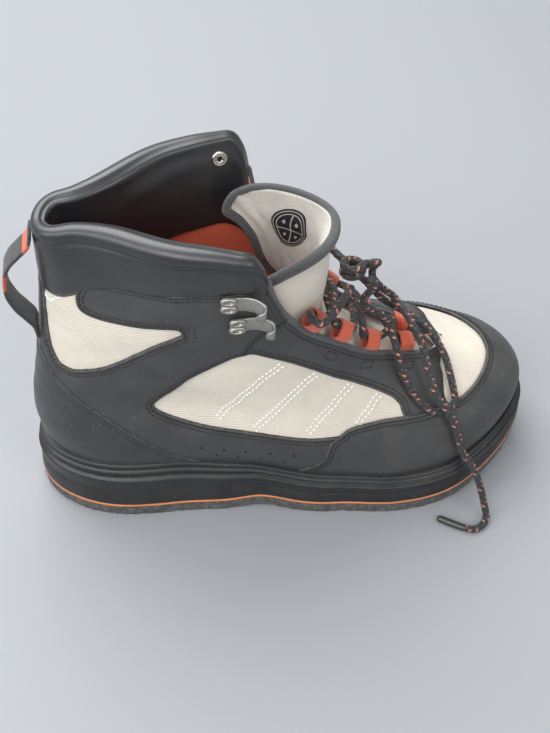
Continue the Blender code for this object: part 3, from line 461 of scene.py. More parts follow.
bonding, tree, shader = finish("orange_rubber", (0.60, 0.22, 0.085), 0.62)
colour_with(
    tree, shader,
    (span(tree, own_noise(tree, 60.0, 5.0), 0.45, 0.75, 0.0, 0.6), (0.42, 0.14, 0.06))
)
bump(tree, shader, own_noise(tree, 700.0, 3.0), 0.4, 0.0003)

felt, tree, shader = finish("felt", (0.045, 0.044, 0.042), 1.0, Sheen_Weight=0.25, Sheen_Roughness=0.7)
shader.inputs["Sheen Tint"].default_value = (0.45, 0.44, 0.42, 1.0)
clumps = span(tree, own_noise(tree, 260.0, 6.0, 0.7), 0.40, 0.68)
colour_with(
    tree, shader, (clumps, (0.135, 0.130, 0.122)),
    (use(tree, "pale_specks", "Mask", Scale=520.0, Share=0.16), (0.36, 0.35, 0.33))
)
bump(tree, shader, own_noise(tree, 750.0, 6.0, 0.75), 1.0, 0.0012)

# %% Suede, lining and webbing
suede, tree, shader = finish("grey_suede", (0.50, 0.47, 0.42), 0.95, Sheen_Weight=0.35, Sheen_Roughness=0.45)
nap = span(tree, own_noise(tree, 70.0, 6.0, 0.65), 0.32, 0.70)
fleck = span(tree, own_noise(tree, 1500.0, 3.0, 0.7), 0.45, 0.70, 0.0, 0.65)
colour_with(tree, shader, (nap, (0.60, 0.57, 0.51)), (fleck, (0.33, 0.31, 0.28)))
bump(tree, shader, own_noise(tree, 1400.0, 4.0, 0.7), 0.5, 0.0004)

lining, tree, shader = finish("lining", (0.55, 0.085, 0.03), 0.92, Sheen_Weight=0.3)
colour_with(
    tree, shader,
    (span(tree, own_noise(tree, 1100.0, 3.0, 0.7), 0.4, 0.65, 0.0, 0.6), (0.34, 0.045, 0.015))
)
bump(tree, shader, own_noise(tree, 1600.0, 3.0), 0.5, 0.0003)

webbing, tree, shader = finish("orange_webbing", (0.62, 0.095, 0.035), 0.80, Sheen_Weight=0.3)
rib_height = use(tree, "rib_weave", "Height", Rib=0.00085, Thread=0.0006)
# The orange is darker in the valleys between the ribs: painted shade.
colour_with(tree, shader, (span(tree, rib_height, 0.75, 0.1, 0.0, 0.75), (0.33, 0.035, 0.012)))
bump(tree, shader, rib_height, 0.8, 0.0004)

binding, tree, shader = finish("woven_binding", (0.035, 0.035, 0.036), 0.85, Sheen_Weight=0.3)
rib_height = use(tree, "rib_weave", "Height", Rib=0.00075, Thread=0.0007)
# The tape is lighter on the tops of its ribs: painted highlight.
colour_with(tree, shader, (span(tree, rib_height, 0.3, 0.9, 0.0, 0.6), (0.085, 0.085, 0.087)))
bump(tree, shader, rib_height, 0.8, 0.0004)

# %% Thread and metal
black_thread, tree, shader = finish("black_thread", (0.016, 0.016, 0.016), 0.38)
bump(tree, shader, own_noise(tree, 3000.0), 0.4, 0.0001)
cream_thread, tree, shader = finish("cream_thread", (0.88, 0.86, 0.81), 0.55)
bump(tree, shader, own_noise(tree, 3000.0), 0.4, 0.0001)

gunmetal, tree, shader = finish("gunmetal", (0.34, 0.325, 0.29), 0.38, Metallic=0.85)
worn = span(tree, own_noise(tree, 300.0, 5.0, 0.65), 0.4, 0.7)
colour_with(tree, shader, (worn, (0.40, 0.385, 0.35)))
tree.links.new(span(tree, worn, 0.0, 1.0, 0.34, 0.46), shader.inputs["Roughness"])
nickel, tree, shader = finish("nickel", (0.62, 0.59, 0.54), 0.22, Metallic=1.0)
tree.links.new(
    span(tree, own_noise(tree, 400.0, 4.0), 0.3, 0.7, 0.18, 0.34), shader.inputs["Roughness"]
)

# %% Braided lace with pairs of bright flecks
# They are read from the cord's own UV map: X runs round it, and Y along it in metres.
FLECK_STEP = 0.0135

lace_braid, tree, shader = finish("braided_lace", (0.024, 0.024, 0.025), 0.72, Sheen_Weight=0.08)
uv = own_uv(tree)
around, along = uv.outputs["X"], uv.outputs["Y"]
helices = [
    calc(tree, "MULTIPLY_ADD", along, sign / 0.0048, calc(tree, "MULTIPLY", around, 4.0)) for sign in (1, -1)
]
strands = [calc(tree, "ABSOLUTE", calc(tree, "SINE", calc(tree, "MULTIPLY", h, math.pi))) for h in helices]
braid = calc(tree, "MULTIPLY", strands[0], strands[1])
cell = calc(tree, "FRACT", calc(tree, "DIVIDE", along, FLECK_STEP))
quarter_round = calc(tree, "MULTIPLY", around, 4.0)
aside = calc(tree, "SUBTRACT", calc(tree, "FRACT", quarter_round), 0.5)
staggered = calc(tree, "MULTIPLY", calc(tree, "MODULO", calc(tree, "FLOOR", quarter_round), 2.0), 0.15)
bent = calc(tree, "SUBTRACT", cell, calc(tree, "MULTIPLY_ADD", aside, 0.14, staggered))
marks = [calc(tree, "COMPARE", bent, middle, 0.045) for middle in (0.25, 0.98)]
bright = calc(
    tree, "MULTIPLY", calc(tree, "ADD", *marks), calc(tree, "COMPARE", aside, 0.0, 0.33), clamp=True
)
# The strands are lighter on their crowns: painted highlight. The orange flecks are the lace's own pattern.
colour_with(
    tree, shader, (span(tree, braid, 0.2, 0.9, 0.0, 0.5), (0.060, 0.060, 0.062)), (bright, (0.52, 0.17, 0.11))
)
bump(tree, shader, braid, 1.0, 0.0005)

tip_plastic, tree, shader = finish("black_plastic", (0.03, 0.03, 0.03), 0.25, Coat_Weight=0.4)
tree.links.new(
    span(tree, own_noise(tree, 250.0), 0.3, 0.7, 0.2, 0.4), shader.inputs["Roughness"]
)
print("finishes:", len(bpy.data.materials))

# %% [markdown]
# ## Bending flat pieces over the form
# Most pieces start as a flat grid whose corners are then moved to a table of places on the form. A leather
# panel has a free outline instead. Its outline is drawn in turn and level as a few smooth strokes,
# filled with a fine triangle net, and raised over the textile with a rounded edge.

# %% A bent grid
def settle(name, bm, materials, body="root"):
    """Turn a bmesh into a piece of the boot: smooth, riding on the body, at the origin."""
    mesh = bpy.data.meshes.new(name)
    bm.to_mesh(mesh)
    bm.free()
    mesh.shade_smooth()
    made = bpy.data.objects.new(name, mesh)
    for one in materials:
        mesh.materials.append(one)
    bpy.context.scene.collection.objects.link(made)
    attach(made, body)
    return made


def bent_grid(name, points, materials, size=(1.0, 1.0), rings=False, slots=None, merge=1e-6, outwards=False):
    """A piece from a table of points, rows by columns. With rings the last column meets the first.

    size is the length along a row and across the rows in metres, for the UV map.
    slots gives each row's material.
    """
    if rings:
        points = np.concatenate([points, points[:, :1]], axis=1)
    rows, columns = points.shape[:2]
    bm = bmesh.new()
    layer = bm.loops.layers.uv.new("UVMap")
    bmesh.ops.create_grid(bm, x_segments=columns - 1, y_segments=rows - 1, size=0.5, calc_uvs=True)
    for corner in bm.verts:
        i, j = round((corner.co.y + 0.5) * (rows - 1)), round((corner.co.x + 0.5) * (columns - 1))
        corner.index = i
        corner.co = points[i, j]
    for face in bm.faces:
        for loop in face.loops:
            loop[layer].uv = (loop[layer].uv.x * size[0], loop[layer].uv.y * size[1])
        if slots is not None:
            face.material_index = slots[min(loop.vert.index for loop in face.loops)]
    if merge:
        bmesh.ops.remove_doubles(bm, verts=bm.verts, dist=merge)
    if outwards:
        bmesh.ops.recalc_face_normals(bm, faces=bm.faces)
    return settle(name, bm, materials)


# %% Strokes and outlines in turn and level
PER_DEGREE, PER_LEVEL = 0.0022, 0.017


def stroke(points, step=0.0012):
    """A smooth open curve through given (turn, level) points, close enough together to draw."""
    flat = np.asarray(points, float) * (PER_DEGREE, PER_LEVEL)
    run = run_of(flat)
    places = np.linspace(0.0, run[-1], max(2, round(run[-1] / step) + 1))
    drawn = np.stack([through(run, flat[:, axis], places) for axis in (0, 1)], -1)
    return drawn / (PER_DEGREE, PER_LEVEL)


def moved_in(line, distance, closed=False):
    """The line moved sideways over the form by a true distance, to its left seen from outside."""
    ahead = np.roll(line, -1, 0) - np.roll(line, 1, 0) if closed else np.gradient(line, axis=0)
    per_degree, per_level, out = ways(line[:, 0], line[:, 1])
    run = unit(per_degree * ahead[:, :1] + per_level * ahead[:, 1:])
    aside = np.cross(out, run) * distance
    dd, dl, ll = [
        np.sum(a * b, -1) for a, b in ((per_degree,) * 2, (per_degree, per_level), (per_level,) * 2)
    ]
    first, second = np.sum(aside * per_degree, -1), np.sum(aside * per_level, -1)
    spread = dd * ll - dl * dl
    shift = np.stack([(first * ll - second * dl) / spread, (second * dd - first * dl) / spread], -1)
    return line + shift


def nearest(points, line):
    """Distance from each point to the nearest of the line's points."""
    blocks = [
        np.min(np.linalg.norm(part[:, None] - line[None], axis=-1), axis=1)
        for part in np.array_split(points, 40) if len(part)
    ]
    return np.concatenate(blocks)


def inside(points, outline):
    """Which flat points lie inside a closed outline."""
    x, y = points[:, 0][:, None], points[:, 1][:, None]
    x1, y1 = outline[:, 0][None], outline[:, 1][None]
    x2, y2 = np.roll(x1, -1), np.roll(y1, -1)
    crosses = ((y1 > y) != (y2 > y)) & (x < (x2 - x1) * (y - y1) / np.where(y2 == y1, 1e-9, y2 - y1) + x1)
    return np.sum(crosses, axis=1) % 2 == 1


# %% A leather panel with a rounded edge
PANEL_THICK = 0.0013
EDGE_ROUND = 0.0007
SEAM_IN = 0.0022
NET_STEP = 0.0026


def panel(name, strokes, material, lift=0.0004, thick=PANEL_THICK, groove=(SEAM_IN,), step=NET_STEP):
    """A panel laid over the form. strokes are lists of (turn, level), anticlockwise seen from outside."""
    lines = [stroke(points) for points in strokes]
    outline = np.concatenate([line[:-1] for line in lines])
    border = on_form(outline[:, 0], outline[:, 1])
    rings = []
    for distance in (0.0003, EDGE_ROUND, 0.0016, SEAM_IN, 0.0030, 0.0042):
        ring = moved_in(outline, distance, closed=True)
        ring = ring[inside(ring, outline)]
        clear = nearest(on_form(ring[:, 0], ring[:, 1]), border) > distance * 0.93
        rings.append(ring[clear][:: 1 if distance < 0.001 else 2])
    low, high = outline.min(0), outline.max(0)
    across = np.arange(low[0], high[0], step / PER_DEGREE)
    up = np.arange(low[1], high[1], step / PER_LEVEL)
    field = np.stack(np.meshgrid(across, up), -1)
    field[::2, :, 0] += step / PER_DEGREE / 2
    field = field.reshape(-1, 2)
    field = field[inside(field, outline)]
    field = field[nearest(on_form(field[:, 0], field[:, 1]), border) > 0.0052]
    chart = np.concatenate([outline, *rings, field]) * (PER_DEGREE, PER_LEVEL)
    edges = [(i, (i + 1) % len(outline)) for i in range(len(outline))]
    flat, _, faces, *_ = delaunay_2d_cdt([Vector(p) for p in chart], edges, [], 0, 1e-7)
    flat = np.array([p[:] for p in flat]) / (PER_DEGREE, PER_LEVEL)
    faces = np.array([f[:3] for f in faces])
    faces = faces[inside(flat[faces].mean(1), outline)]
    depth = nearest(on_form(flat[:, 0], flat[:, 1]), border)
    rounded = np.sqrt(1 - (1 - np.clip(depth / EDGE_ROUND, 0, 1)) ** 2)
    height = lift - 0.0003 + (thick + 0.0003) * rounded
    for seam in groove:
        height = height - 0.00035 * np.exp(-(((depth - seam) / 0.0006) ** 2))
    placed = over_boot(flat[:, 0], flat[:, 1], height)
    bm = bmesh.new()
    layer = bm.loops.layers.uv.new("UVMap")
    gap = bm.verts.layers.float.new("edge_gap")
    corners = [bm.verts.new(p) for p in placed]
    for corner, distance in zip(corners, depth):
        corner[gap] = distance
    for face in faces:
        made = bm.faces.new([corners[i] for i in face])
        for loop, i in zip(made.loops, face):
            loop[layer].uv = (flat[i][0] * PER_DEGREE, flat[i][1] * PER_LEVEL)
    bmesh.ops.delete(bm, geom=[v for v in bm.verts if not v.link_faces], context="VERTS")
    bm.normal_update()
    made = settle(name, bm, [material])
    back_side = made.modifiers.new("thickness", "SOLIDIFY")
    back_side.thickness = thick * 0.5
    back_side.offset = -1.0
    return made, lines

# %% [markdown]
# ## Creases
# A boot that has been worn keeps soft troughs where the textile folds at the heel and the vamp. They are
# given as short lines on the form, each with a width and a depth, and every layer of the upper
# follows them.

# %% Soft troughs of the upper, and of the quilting
Crease = namedtuple("Crease", "start end width depth")
CREASES = [
    Crease((14, 6.9), (40, 6.55), 3.5, 0.7), Crease((18, 7.3), (44, 7.05), 3.0, 0.5),
    Crease((30, 6.2), (66, 6.5), 3.5, 0.5), Crease((322, 6.7), (345, 6.9), 4.0, 0.6),
    Crease((310, 7.2), (338, 7.4), 3.0, 0.4), Crease((84, 5.6), (112, 6.7), 3.5, 0.5),
    Crease((104, 7.15), (121, 7.3), 3.0, 0.45), Crease((276, 5.6), (252, 6.6), 4.0, 0.5),
    Crease((150, 3.45), (171, 3.75), 6.0, 0.4), Crease((190, 3.75), (212, 3.6), 6.0, 0.4),
    Crease((117, 5.87), (97.5, 5.07), 2.4, 0.35), Crease((97.5, 5.07), (76, 3.2), 2.4, 0.35),
    Crease((128, 5.46), (105, 4.55), 2.4, 0.35), Crease((105, 4.55), (83, 2.65), 2.4, 0.35),
    Crease((132.7, 4.80), (113, 4.1), 2.4, 0.35), Crease((113, 4.1), (96, 2.8), 2.4, 0.35),
    Crease((133, 4.28), (112, 3.3), 2.4, 0.35),
]


def over_boot(turn, level, lift=0.0):
    """Points over the form with its creases and its slight unevenness."""
    points = form(turn, level)
    sunk = np.zeros(points.shape[:-1])
    for crease in CREASES:
        start, end = form(*crease.start), form(*crease.end)
        way = end - start
        share = np.clip((points - start) @ way / (way @ way), 0, 1)
        gap = np.linalg.norm(points - start - share[..., None] * way, axis=-1)
        dent = np.exp(-((gap / (crease.width / 1000)) ** 2))
        sunk += crease.depth / 1000 * dent * (1 - 0.5 * np.abs(2 * share - 1) ** 2)
    x, y, z = np.moveaxis(points, -1, 0)
    sunk += 0.00015 * np.sin(x * 210 + z * 90) * np.sin(y * 160 - z * 240)
    sunk *= smooth_step(level, 0.0, 1.2)
    return points + ways(turn, level)[2] * (np.asarray(lift, float) - sunk)[..., None]


# %% [markdown]
# ## The textile upper
# The upper is one hollow sock of cream textile with an orange-red lining, from the feather edge up to the
# top line. Its net has columns from the sole to the edge, spread evenly along both, so the weave runs true
# round the foot.

# %% The net of the upper
def turn_of(angle, side):
    return np.where(side < 0, angle, 360 - np.asarray(angle, float))


def even(points, count):
    """Shares 0 to 1 that split a line of points into equal lengths."""
    run = run_of(points)
    return np.interp(np.linspace(0, run[-1], count), run, np.linspace(0, 1, len(points)))


def top_edge(side, shares):
    """Turn and level of the upper's top edge, from the middle of the heel to the front of the throat."""
    steps = np.linspace(0, 1, len(TOPLINE))
    angle = through(steps, column(TOPLINE, "lateral" if side < 0 else "medial"), shares)
    return turn_of(angle, side), through(steps, column(TOPLINE, "level"), shares)


def even_top(side, count):
    turns, levels = top_edge(side, np.linspace(0, 1, 240))
    return top_edge(side, even(form(turns, levels), count))


def net(side, columns, rows):
    """Turns and levels of the upper's net on one side, columns by rows."""
    tops, levels = even_top(side, columns)
    low = turn_of(180 * even(form(turn_of(np.linspace(0, 180, 240), side), 0.0), columns), side)
    heights = np.linspace(0, 1, 61)
    if side > 0:
        low[0], tops = 360.0, np.where(tops < 1, 360.0, tops)
    made = []
    for c in range(columns):
        turns, rise = low[c] + (tops[c] - low[c]) * heights, levels[c] * heights
        share = np.interp(np.linspace(0, 1, rows + 1), np.linspace(0, 1, 61), even(form(turns, rise), 61))
        made.append((low[c] + (tops[c] - low[c]) * share, levels[c] * share))
    return np.array([m[0] for m in made]), np.array([m[1] for m in made])


SHELL_COLUMNS, SHELL_ROWS = 111, 60
sides = [net(side, SHELL_COLUMNS, SHELL_ROWS) for side in (-1, 1)]
turns = np.concatenate([sides[0][0], sides[1][0][-2:0:-1]]).T
levels = np.concatenate([sides[0][1], sides[1][1][-2:0:-1]]).T
outside = over_boot(turns, levels)
within = over_boot(turns[::-1], levels[::-1], np.full(turns.shape, -WALL))
shell = bent_grid(
    "upper_textile", np.concatenate([outside, within]), [cream, lining], (0.72, 0.24), rings=True,
    slots=[0] * (SHELL_ROWS + 1) + [1] * (SHELL_ROWS + 1)
)
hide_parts("upper")
print("upper:", len(shell.data.polygons), "faces")

# %% [markdown]
# ## Sole
# Felt, a thin orange bonding layer and a ribbed rubber midsole lie one over another. Each is a stack of
# rings with the sole's outline, moved out or in by its profile, and closed along the middle above and
# below.

# %% Rings of the sole
SOLE_TURNS = np.linspace(0, 360, 361)[:-1]
FELT_THICK, BOND_THICK, SOLE_FLARE, RIB_DEPTH = 0.0095, 0.0018, 0.0025, 0.0018


def sole_ring(outset, height_of, inward=1.0):
    """A ring of the sole's outline. inward of 0 draws it together on the centre line."""
    angle = np.radians(SOLE_TURNS)
    along = (1 - np.cos(angle)) / 2
    width = half_width(along, SOLE_TURNS > 180) * np.abs(np.sin(angle))
    flat = np.stack(
        [along * LENGTH - HEEL_SETBACK, centre_line(along) - np.sign(180 - SOLE_TURNS) * width], -1
    )
    run = unit(np.roll(flat, -1, 0) - np.roll(flat, 1, 0))
    flat = flat + np.stack([run[:, 1], -run[:, 0]], -1) * np.broadcast_to(outset, SOLE_TURNS.shape)[:, None]
    along = np.clip((flat[:, 0] + HEEL_SETBACK) / LENGTH, 0, 1)
    flat[:, 1] = centre_line(along) + (flat[:, 1] - centre_line(along)) * inward
    return np.concatenate([flat, height_of(along)[:, None]], axis=1)


def layered(name, profile, material):
    """A solid from (outset, height function) rows, closed along the middle at both ends."""
    rows = [sole_ring(*profile[0], 0.0), *[sole_ring(*row) for row in profile], sole_ring(*profile[-1], 0.0)]
    return bent_grid(name, np.array(rows), [material], (0.8, 0.05), rings=True, merge=2e-5)


def between(low, high, share):
    return lambda along: low(along) + (high(along) - low(along)) * share


def bond_base(along):
    return floor_height(along) + FELT_THICK + GAP


def midsole_base(along):
    return bond_base(along) + BOND_THICK + GAP


# %% Midsole with its ribs and welt
Rib = namedtuple("Rib", "height outset")
MIDSOLE_SIDE = [
    Rib(0.00, -0.1), Rib(0.02, 0.25), Rib(0.05, 0.32), Rib(0.36, 0.36), Rib(0.375, 0.20), Rib(0.39, 0.20),
    Rib(0.405, 0.36), Rib(0.555, 0.36), Rib(0.58, 0.45), Rib(0.60, 0.80), Rib(0.625, 0.95), Rib(0.655, 0.95),
    Rib(0.675, 0.70), Rib(0.69, 0.0), Rib(0.705, -0.35), Rib(0.74, -0.42), Rib(0.775, -0.35), Rib(0.79, 0.10),
    Rib(0.805, 0.42), Rib(0.83, 0.52), Rib(0.855, 0.42), Rib(0.87, -0.20), Rib(0.885, -0.55),
    Rib(0.905, -0.40), Rib(0.925, 0.02), Rib(0.955, 0.12), Rib(0.98, -0.15), Rib(1.00, -0.6),
]
profile = []
for rib in MIDSOLE_SIDE:
    outset = rib.outset * RIB_DEPTH + SOLE_FLARE * (1 - rib.height) - 0.001 * rib.height
    profile.append((outset, between(midsole_base, feather_height, rib.height)))
midsole = layered("midsole_ribbed", profile, sole_rubber)
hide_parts("midsole")

BOND_SIDE = [(0.0, -0.0002), (0.15, 0.0004), (0.5, 0.0005), (0.75, 0.0004), (0.86, -0.0002)]
bond_profile = [(SOLE_FLARE + out, between(bond_base, midsole_base, share)) for share, out in BOND_SIDE]
bond = layered("bonding_layer", bond_profile, bonding)
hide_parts("bond_line")

# %% Felt with a rough edge and loose fibres
rng = np.random.default_rng(7)


def roughness_of(seed, size):
    """Uneven rows, each a sum of sines round the sole, the same in every run."""
    waves = np.random.default_rng(seed).normal(size=(size, 24))
    turns_ = np.radians(SOLE_TURNS)[:, None] * np.random.default_rng(seed).integers(20, 160, 24)
    return np.array([np.sum(np.sin(turns_ + row) * 0.2, axis=1) for row in waves])


FELT_SIDE = [
    (0, -0.0016), (0.06, -0.0003), (0.2, 0), (0.35, 1e-4), (0.5, 0), (0.65, 2e-4), (0.8, 0), (0.93, 1e-4),
    (1, -0.0003),
]
FELT_ROUGH = 0.00022
rough = roughness_of(3, len(FELT_SIDE)) * FELT_ROUGH
felt_rows = []
for (share, out), row in zip(FELT_SIDE, rough):
    felt_rows.append((SOLE_FLARE + out + row, between(floor_height, bond_base, share * 0.97)))
felt_sole = layered("felt_outsole", felt_rows, felt)
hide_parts("outsole_felt")


def fibres(name, count, material):
    """Loose felt fibres round the edge of the outsole, each a thin three-sided sliver."""
    bm = bmesh.new()
    ring = sole_ring(SOLE_FLARE, floor_height)
    heading = unit(np.roll(ring, -1, 0) - np.roll(ring, 1, 0))
    for _ in range(count):
        i = rng.integers(len(ring))
        out = Vector((heading[i][1], -heading[i][0], 0))
        root = Vector(ring[i]) + Vector((0, 0, rng.uniform(0.0002, 0.0093))) - out * 0.0003
        tip = root + out * rng.uniform(0.0006, 0.0017) + Vector(rng.normal(size=3)) * 0.0005
        tip.z = max(tip.z, 0.0001)
        aside = Vector(rng.normal(size=3)).normalized() * 0.00006
        base = [bm.verts.new(root + aside), bm.verts.new(root - aside), bm.verts.new(root + out.cross(aside))]
        end = bm.verts.new(tip)
        for a, b in ((0, 1), (1, 2), (2, 0)):
            bm.faces.new((base[a], base[b], end))
    bmesh.ops.recalc_face_normals(bm, faces=bm.faces)
    return settle(name, bm, [material])


fibres("felt_fibres", 5200, felt)
nodes["insole"].data.materials.clear()
nodes["insole"].data.materials.append(lining)
print("sole height at the heel: %.1f mm" % (HEEL_STACK * 1000))

# %% [markdown]
# ## Leather panels
# The quarters, facings, toe cap and counter are separate cut pieces. The quarter runs from the backstay
# under the rear window, up to the ankle, and down along the sole. The facing carries the webbing loops. The
# toe cap and the counter lie over the quarter's ends. Windows between them leave the textile bare.

# %% Outlines of the lateral panels, as strokes from corner to corner
QUARTER = [
    [(8, 0.02), (30, 0.02), (60, 0.02), (97, 0.02)],
    [(97, 0.02), (100, 1.4), (105, 2.3), (110, 2.9)],
    [
        (110, 2.9), (106.5, 2.80), (103.5, 2.66), (99, 2.56), (93, 2.50), (84, 2.46), (75, 2.63), (68, 3.0),
        (64, 3.4), (62.4, 3.8), (63.2, 4.1), (65.3, 4.33), (69, 4.65), (74.5, 5.10), (80, 5.45), (86, 5.73),
        (91.5, 5.95), (96, 6.14), (101, 6.30), (107, 6.38)
    ],
    [(107, 6.38), (111.5, 6.75), (117, 6.95), (124, 7.03), (131.5, 7.08)],
    [(131.5, 7.08), (129, 7.5), (125.5, 7.95), (122.5, 8.25)],
    [
        (122.5, 8.25), (112, 8.24), (100, 8.19), (88, 8.14), (73.5, 8.12), (60, 8.12), (51, 8.08), (46, 8.0),
        (43, 7.86), (41.6, 7.7), (42.2, 7.55), (44.5, 7.43), (50, 7.34), (60, 7.28), (72, 7.26), (80, 7.27),
        (85.5, 7.28), (88.3, 7.25), (88.6, 7.16), (86, 7.06), (79, 6.88), (70, 6.58), (60, 6.20), (52, 5.92),
        (44, 5.76), (36, 5.66), (29, 5.70), (24, 5.92), (19.5, 6.25), (15.5, 6.8), (13, 7.3), (12, 7.9)
    ],
    [(12, 7.9), (8, 7.9)],
    [(8, 7.9), (8, 4.0), (8, 0.02)],
]
FACING = [
    [
        (104, 6.39), (108.5, 6.36), (113, 6.20), (118, 5.96), (123, 5.72), (128, 5.43), (131.5, 5.12),
        (133.3, 4.75), (133.9, 4.4), (133.5, 4.1), (131.5, 3.78), (127.5, 3.42), (124, 2.9)
    ],
    [(124, 2.9), (138, 2.7)],
    [(138, 2.7), (143, 3.30), (149, 3.58), (156, 3.80), (163, 3.98), (170, 4.02), (178.5, 4.02)],
    [
        (178.5, 4.02), (176, 4.16), (170, 4.33), (165, 4.62), (158, 5.10), (152, 5.50), (146.5, 5.90),
        (141, 6.30), (135.5, 6.78), (130.5, 7.25)
    ],
    [(130.5, 7.25), (120, 7.1), (110, 6.9), (102, 6.62)],
    [(102, 6.62), (102.5, 6.48), (104, 6.39)],
]
MEDIAL_QUARTER = [
    [(8, 0.02), (30, 0.02), (60, 0.02), (97, 0.02)],
    [(97, 0.02), (102, 1.6), (107, 2.5), (113, 2.95)],
    [
        (113, 2.95), (110, 3.2), (100, 3.22), (92, 3.5), (84, 3.95), (76, 4.42), (71, 4.82), (69.5, 5.12),
        (71.5, 5.38), (77, 5.55), (88, 5.75), (98, 5.95), (105, 6.05)
    ],
    [(105, 6.05), (109, 6.5), (116, 6.85), (122, 7.0), (129.5, 7.05)],
    [(129.5, 7.05), (127, 7.5), (124.5, 7.95), (122, 8.25)],
    [
        (122, 8.25), (112, 8.24), (100, 8.2), (88, 8.16), (75, 8.13), (64, 8.12), (56, 8.08), (52, 8.0),
        (50.5, 7.86), (51.5, 7.7), (56, 7.3), (62, 6.8), (66.5, 6.35), (67.5, 6.08), (66, 5.88), (61, 5.75),
        (50, 5.68), (38, 5.66), (28, 5.72), (21, 5.95), (16.5, 6.5), (14, 7.2), (12, 7.9)
    ],
    [(12, 7.9), (8, 7.9)],
    [(8, 7.9), (8, 4.0), (8, 0.02)],
]
MEDIAL_FACING = [
    [
        (108, 5.75), (114, 5.60), (121, 5.25), (127, 4.80), (131.5, 4.35), (133.5, 3.95), (132, 3.60),
        (128, 3.3), (125, 2.9)
    ],
    [(125, 2.9), (137, 2.7)],
    [(137, 2.7), (141, 3.30), (147, 3.58), (155, 3.80), (163, 3.98), (170, 4.02), (178.5, 4.02)],
    [
        (178.5, 4.02), (174, 4.16), (167, 4.33), (161, 4.62), (152, 5.10), (144, 5.50), (138.5, 5.90),
        (134, 6.30), (130.5, 6.78), (128, 7.22)
    ],
    [(128, 7.22), (118, 7.05), (108, 6.7), (102, 6.3)],
    [(102, 6.3), (105, 5.95), (108, 5.75)],
]
TOE_CAP = [
    [
        (91, 0.02), (110, 0.02), (135, 0.02), (160, 0.02), (180, 0.02), (200, 0.02), (225, 0.02), (250, 0.02),
        (269, 0.02)
    ],
    [
        (269, 0.02), (266, 0.9), (262, 1.9), (257, 2.55), (251, 3.0), (246, 3.25), (238, 3.38), (228, 3.36),
        (218, 3.28), (208, 3.20), (198, 3.14), (188, 3.10), (180, 3.09), (170, 3.10), (162, 3.08),
        (155, 3.05), (147.5, 3.03), (140, 3.12), (131, 3.26), (121.5, 3.38), (114, 3.30), (109, 3.12),
        (104.5, 2.74), (100.5, 2.34), (97, 1.4), (94, 0.7), (91, 0.02)
    ],
]
COUNTER = [
    [(-68, 0.02), (-50, 0.02), (-30, 0.02), (0, 0.02), (30, 0.02), (50, 0.02), (68, 0.02)],
    [
        (68, 0.02), (64.5, 0.45), (60.5, 1.02), (55, 1.95), (49.5, 2.8), (43.5, 3.68), (36.5, 4.45),
        (30, 5.0), (23, 5.4), (14, 5.68), (6, 5.82)
    ],
    [(6, 5.82), (0, 5.88), (-6, 5.82)],
    [
        (-6, 5.82), (-14, 5.68), (-23, 5.4), (-30, 5.0), (-36.5, 4.45), (-43.5, 3.68), (-49.5, 2.8),
        (-55, 1.95), (-60.5, 1.02), (-64.5, 0.45), (-68, 0.02)
    ],
]


def mirrored(strokes):
    """The same strokes on the other side, still running anticlockwise seen from outside."""
    return [[(360 - turn, level) for turn, level in reversed(points)] for points in reversed(strokes)]


# %% Cut and lay the panels
quarter, quarter_lines = panel("quarter_lateral", QUARTER, charcoal)
facing, facing_lines = panel("facing_lateral_leather", FACING, charcoal, lift=-0.0001)
inner_quarter, inner_quarter_lines = panel("quarter_medial", mirrored(MEDIAL_QUARTER), charcoal)
inner_facing, inner_facing_lines = panel(
    "facing_medial_leather", mirrored(MEDIAL_FACING), charcoal, lift=-0.0001
)
cap, cap_lines = panel("toe_cap_leather", TOE_CAP, toe_rubber, lift=0.0014, thick=0.0012)
counter, _ = panel(
    "counter_moulded", COUNTER, counter_skin, lift=0.0014, thick=0.0012, groove=(0.0034, 0.0052)
)
for piece, names, slot in (
    (
        quarter, ("foxing_lateral", "quarter_arm_lateral", "ankle_strap_lateral", "ankle_panel_lateral"),
        "charcoal_leather"
    ),
    (
        inner_quarter, ("foxing_medial", "quarter_arm_medial", "ankle_strap_medial", "ankle_panel_medial"),
        "charcoal_leather"
    ),
    (facing, ("facing_lateral",), "charcoal_leather"), (inner_facing, ("facing_medial",), "charcoal_leather"),
    (cap, ("toe_cap",), "black_rubber"), (counter, ("heel_counter",), "black_rubber"),
):
    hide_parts(*names)
    print(piece.name, len(piece.data.polygons), "faces")

# %% [markdown]
# ## Stitches
# Every panel edge is held by two rows of lockstitch. Each stitch is a small real ellipsoid that lies along
# its seam and sinks a little, so rows catch the light as thread does. A row follows a stroke of a panel,
# moved in from its edge.

# %% Rows of stitches
Thread = namedtuple("Thread", "pitch length width height")
SEAM_THREAD = Thread(0.0031, 0.0025, 0.00100, 0.00090)


def spaced(points, pitch):
    """Points evenly along a line, with the direction of the line at each."""
    run = run_of(points)
    places = np.arange(pitch / 2, run[-1], pitch)
    found = np.stack([np.interp(places, run, points[:, k]) for k in range(3)], -1)
    ahead = np.stack([np.interp(places + 2e-4, run, points[:, k]) for k in range(3)], -1)
    return found, unit(ahead - found + 1e-9)


def beads(name, places, headings, outs, sizes, material, segments=(6, 4)):
    """Many small ellipsoids as one piece. sizes is length, width and height."""
    bm = bmesh.new()
    bmesh.ops.create_uvsphere(bm, u_segments=segments[0], v_segments=segments[1], radius=1.0)
    bead = bpy.data.meshes.new("bead")
    bm.to_mesh(bead)
    bm.free()
    bm = bmesh.new()
    for _ in places:
        bm.from_mesh(bead, face_normals=False, vertex_normals=False)
    made = settle(name, bm, [material])
    ball = np.array([corner.co for corner in bead.vertices])[:, [2, 0, 1]]
    axes = np.stack(
        [headings * sizes[0] / 2, np.cross(outs, headings) * sizes[1] / 2, outs * sizes[2] / 2], axis=1
    )
    points = places[:, None] + np.einsum("pk,nkc->npc", ball, axes)
    made.data.vertices.foreach_set("co", points.ravel())
    made.data.update()
    bpy.data.meshes.remove(bead)
    return made


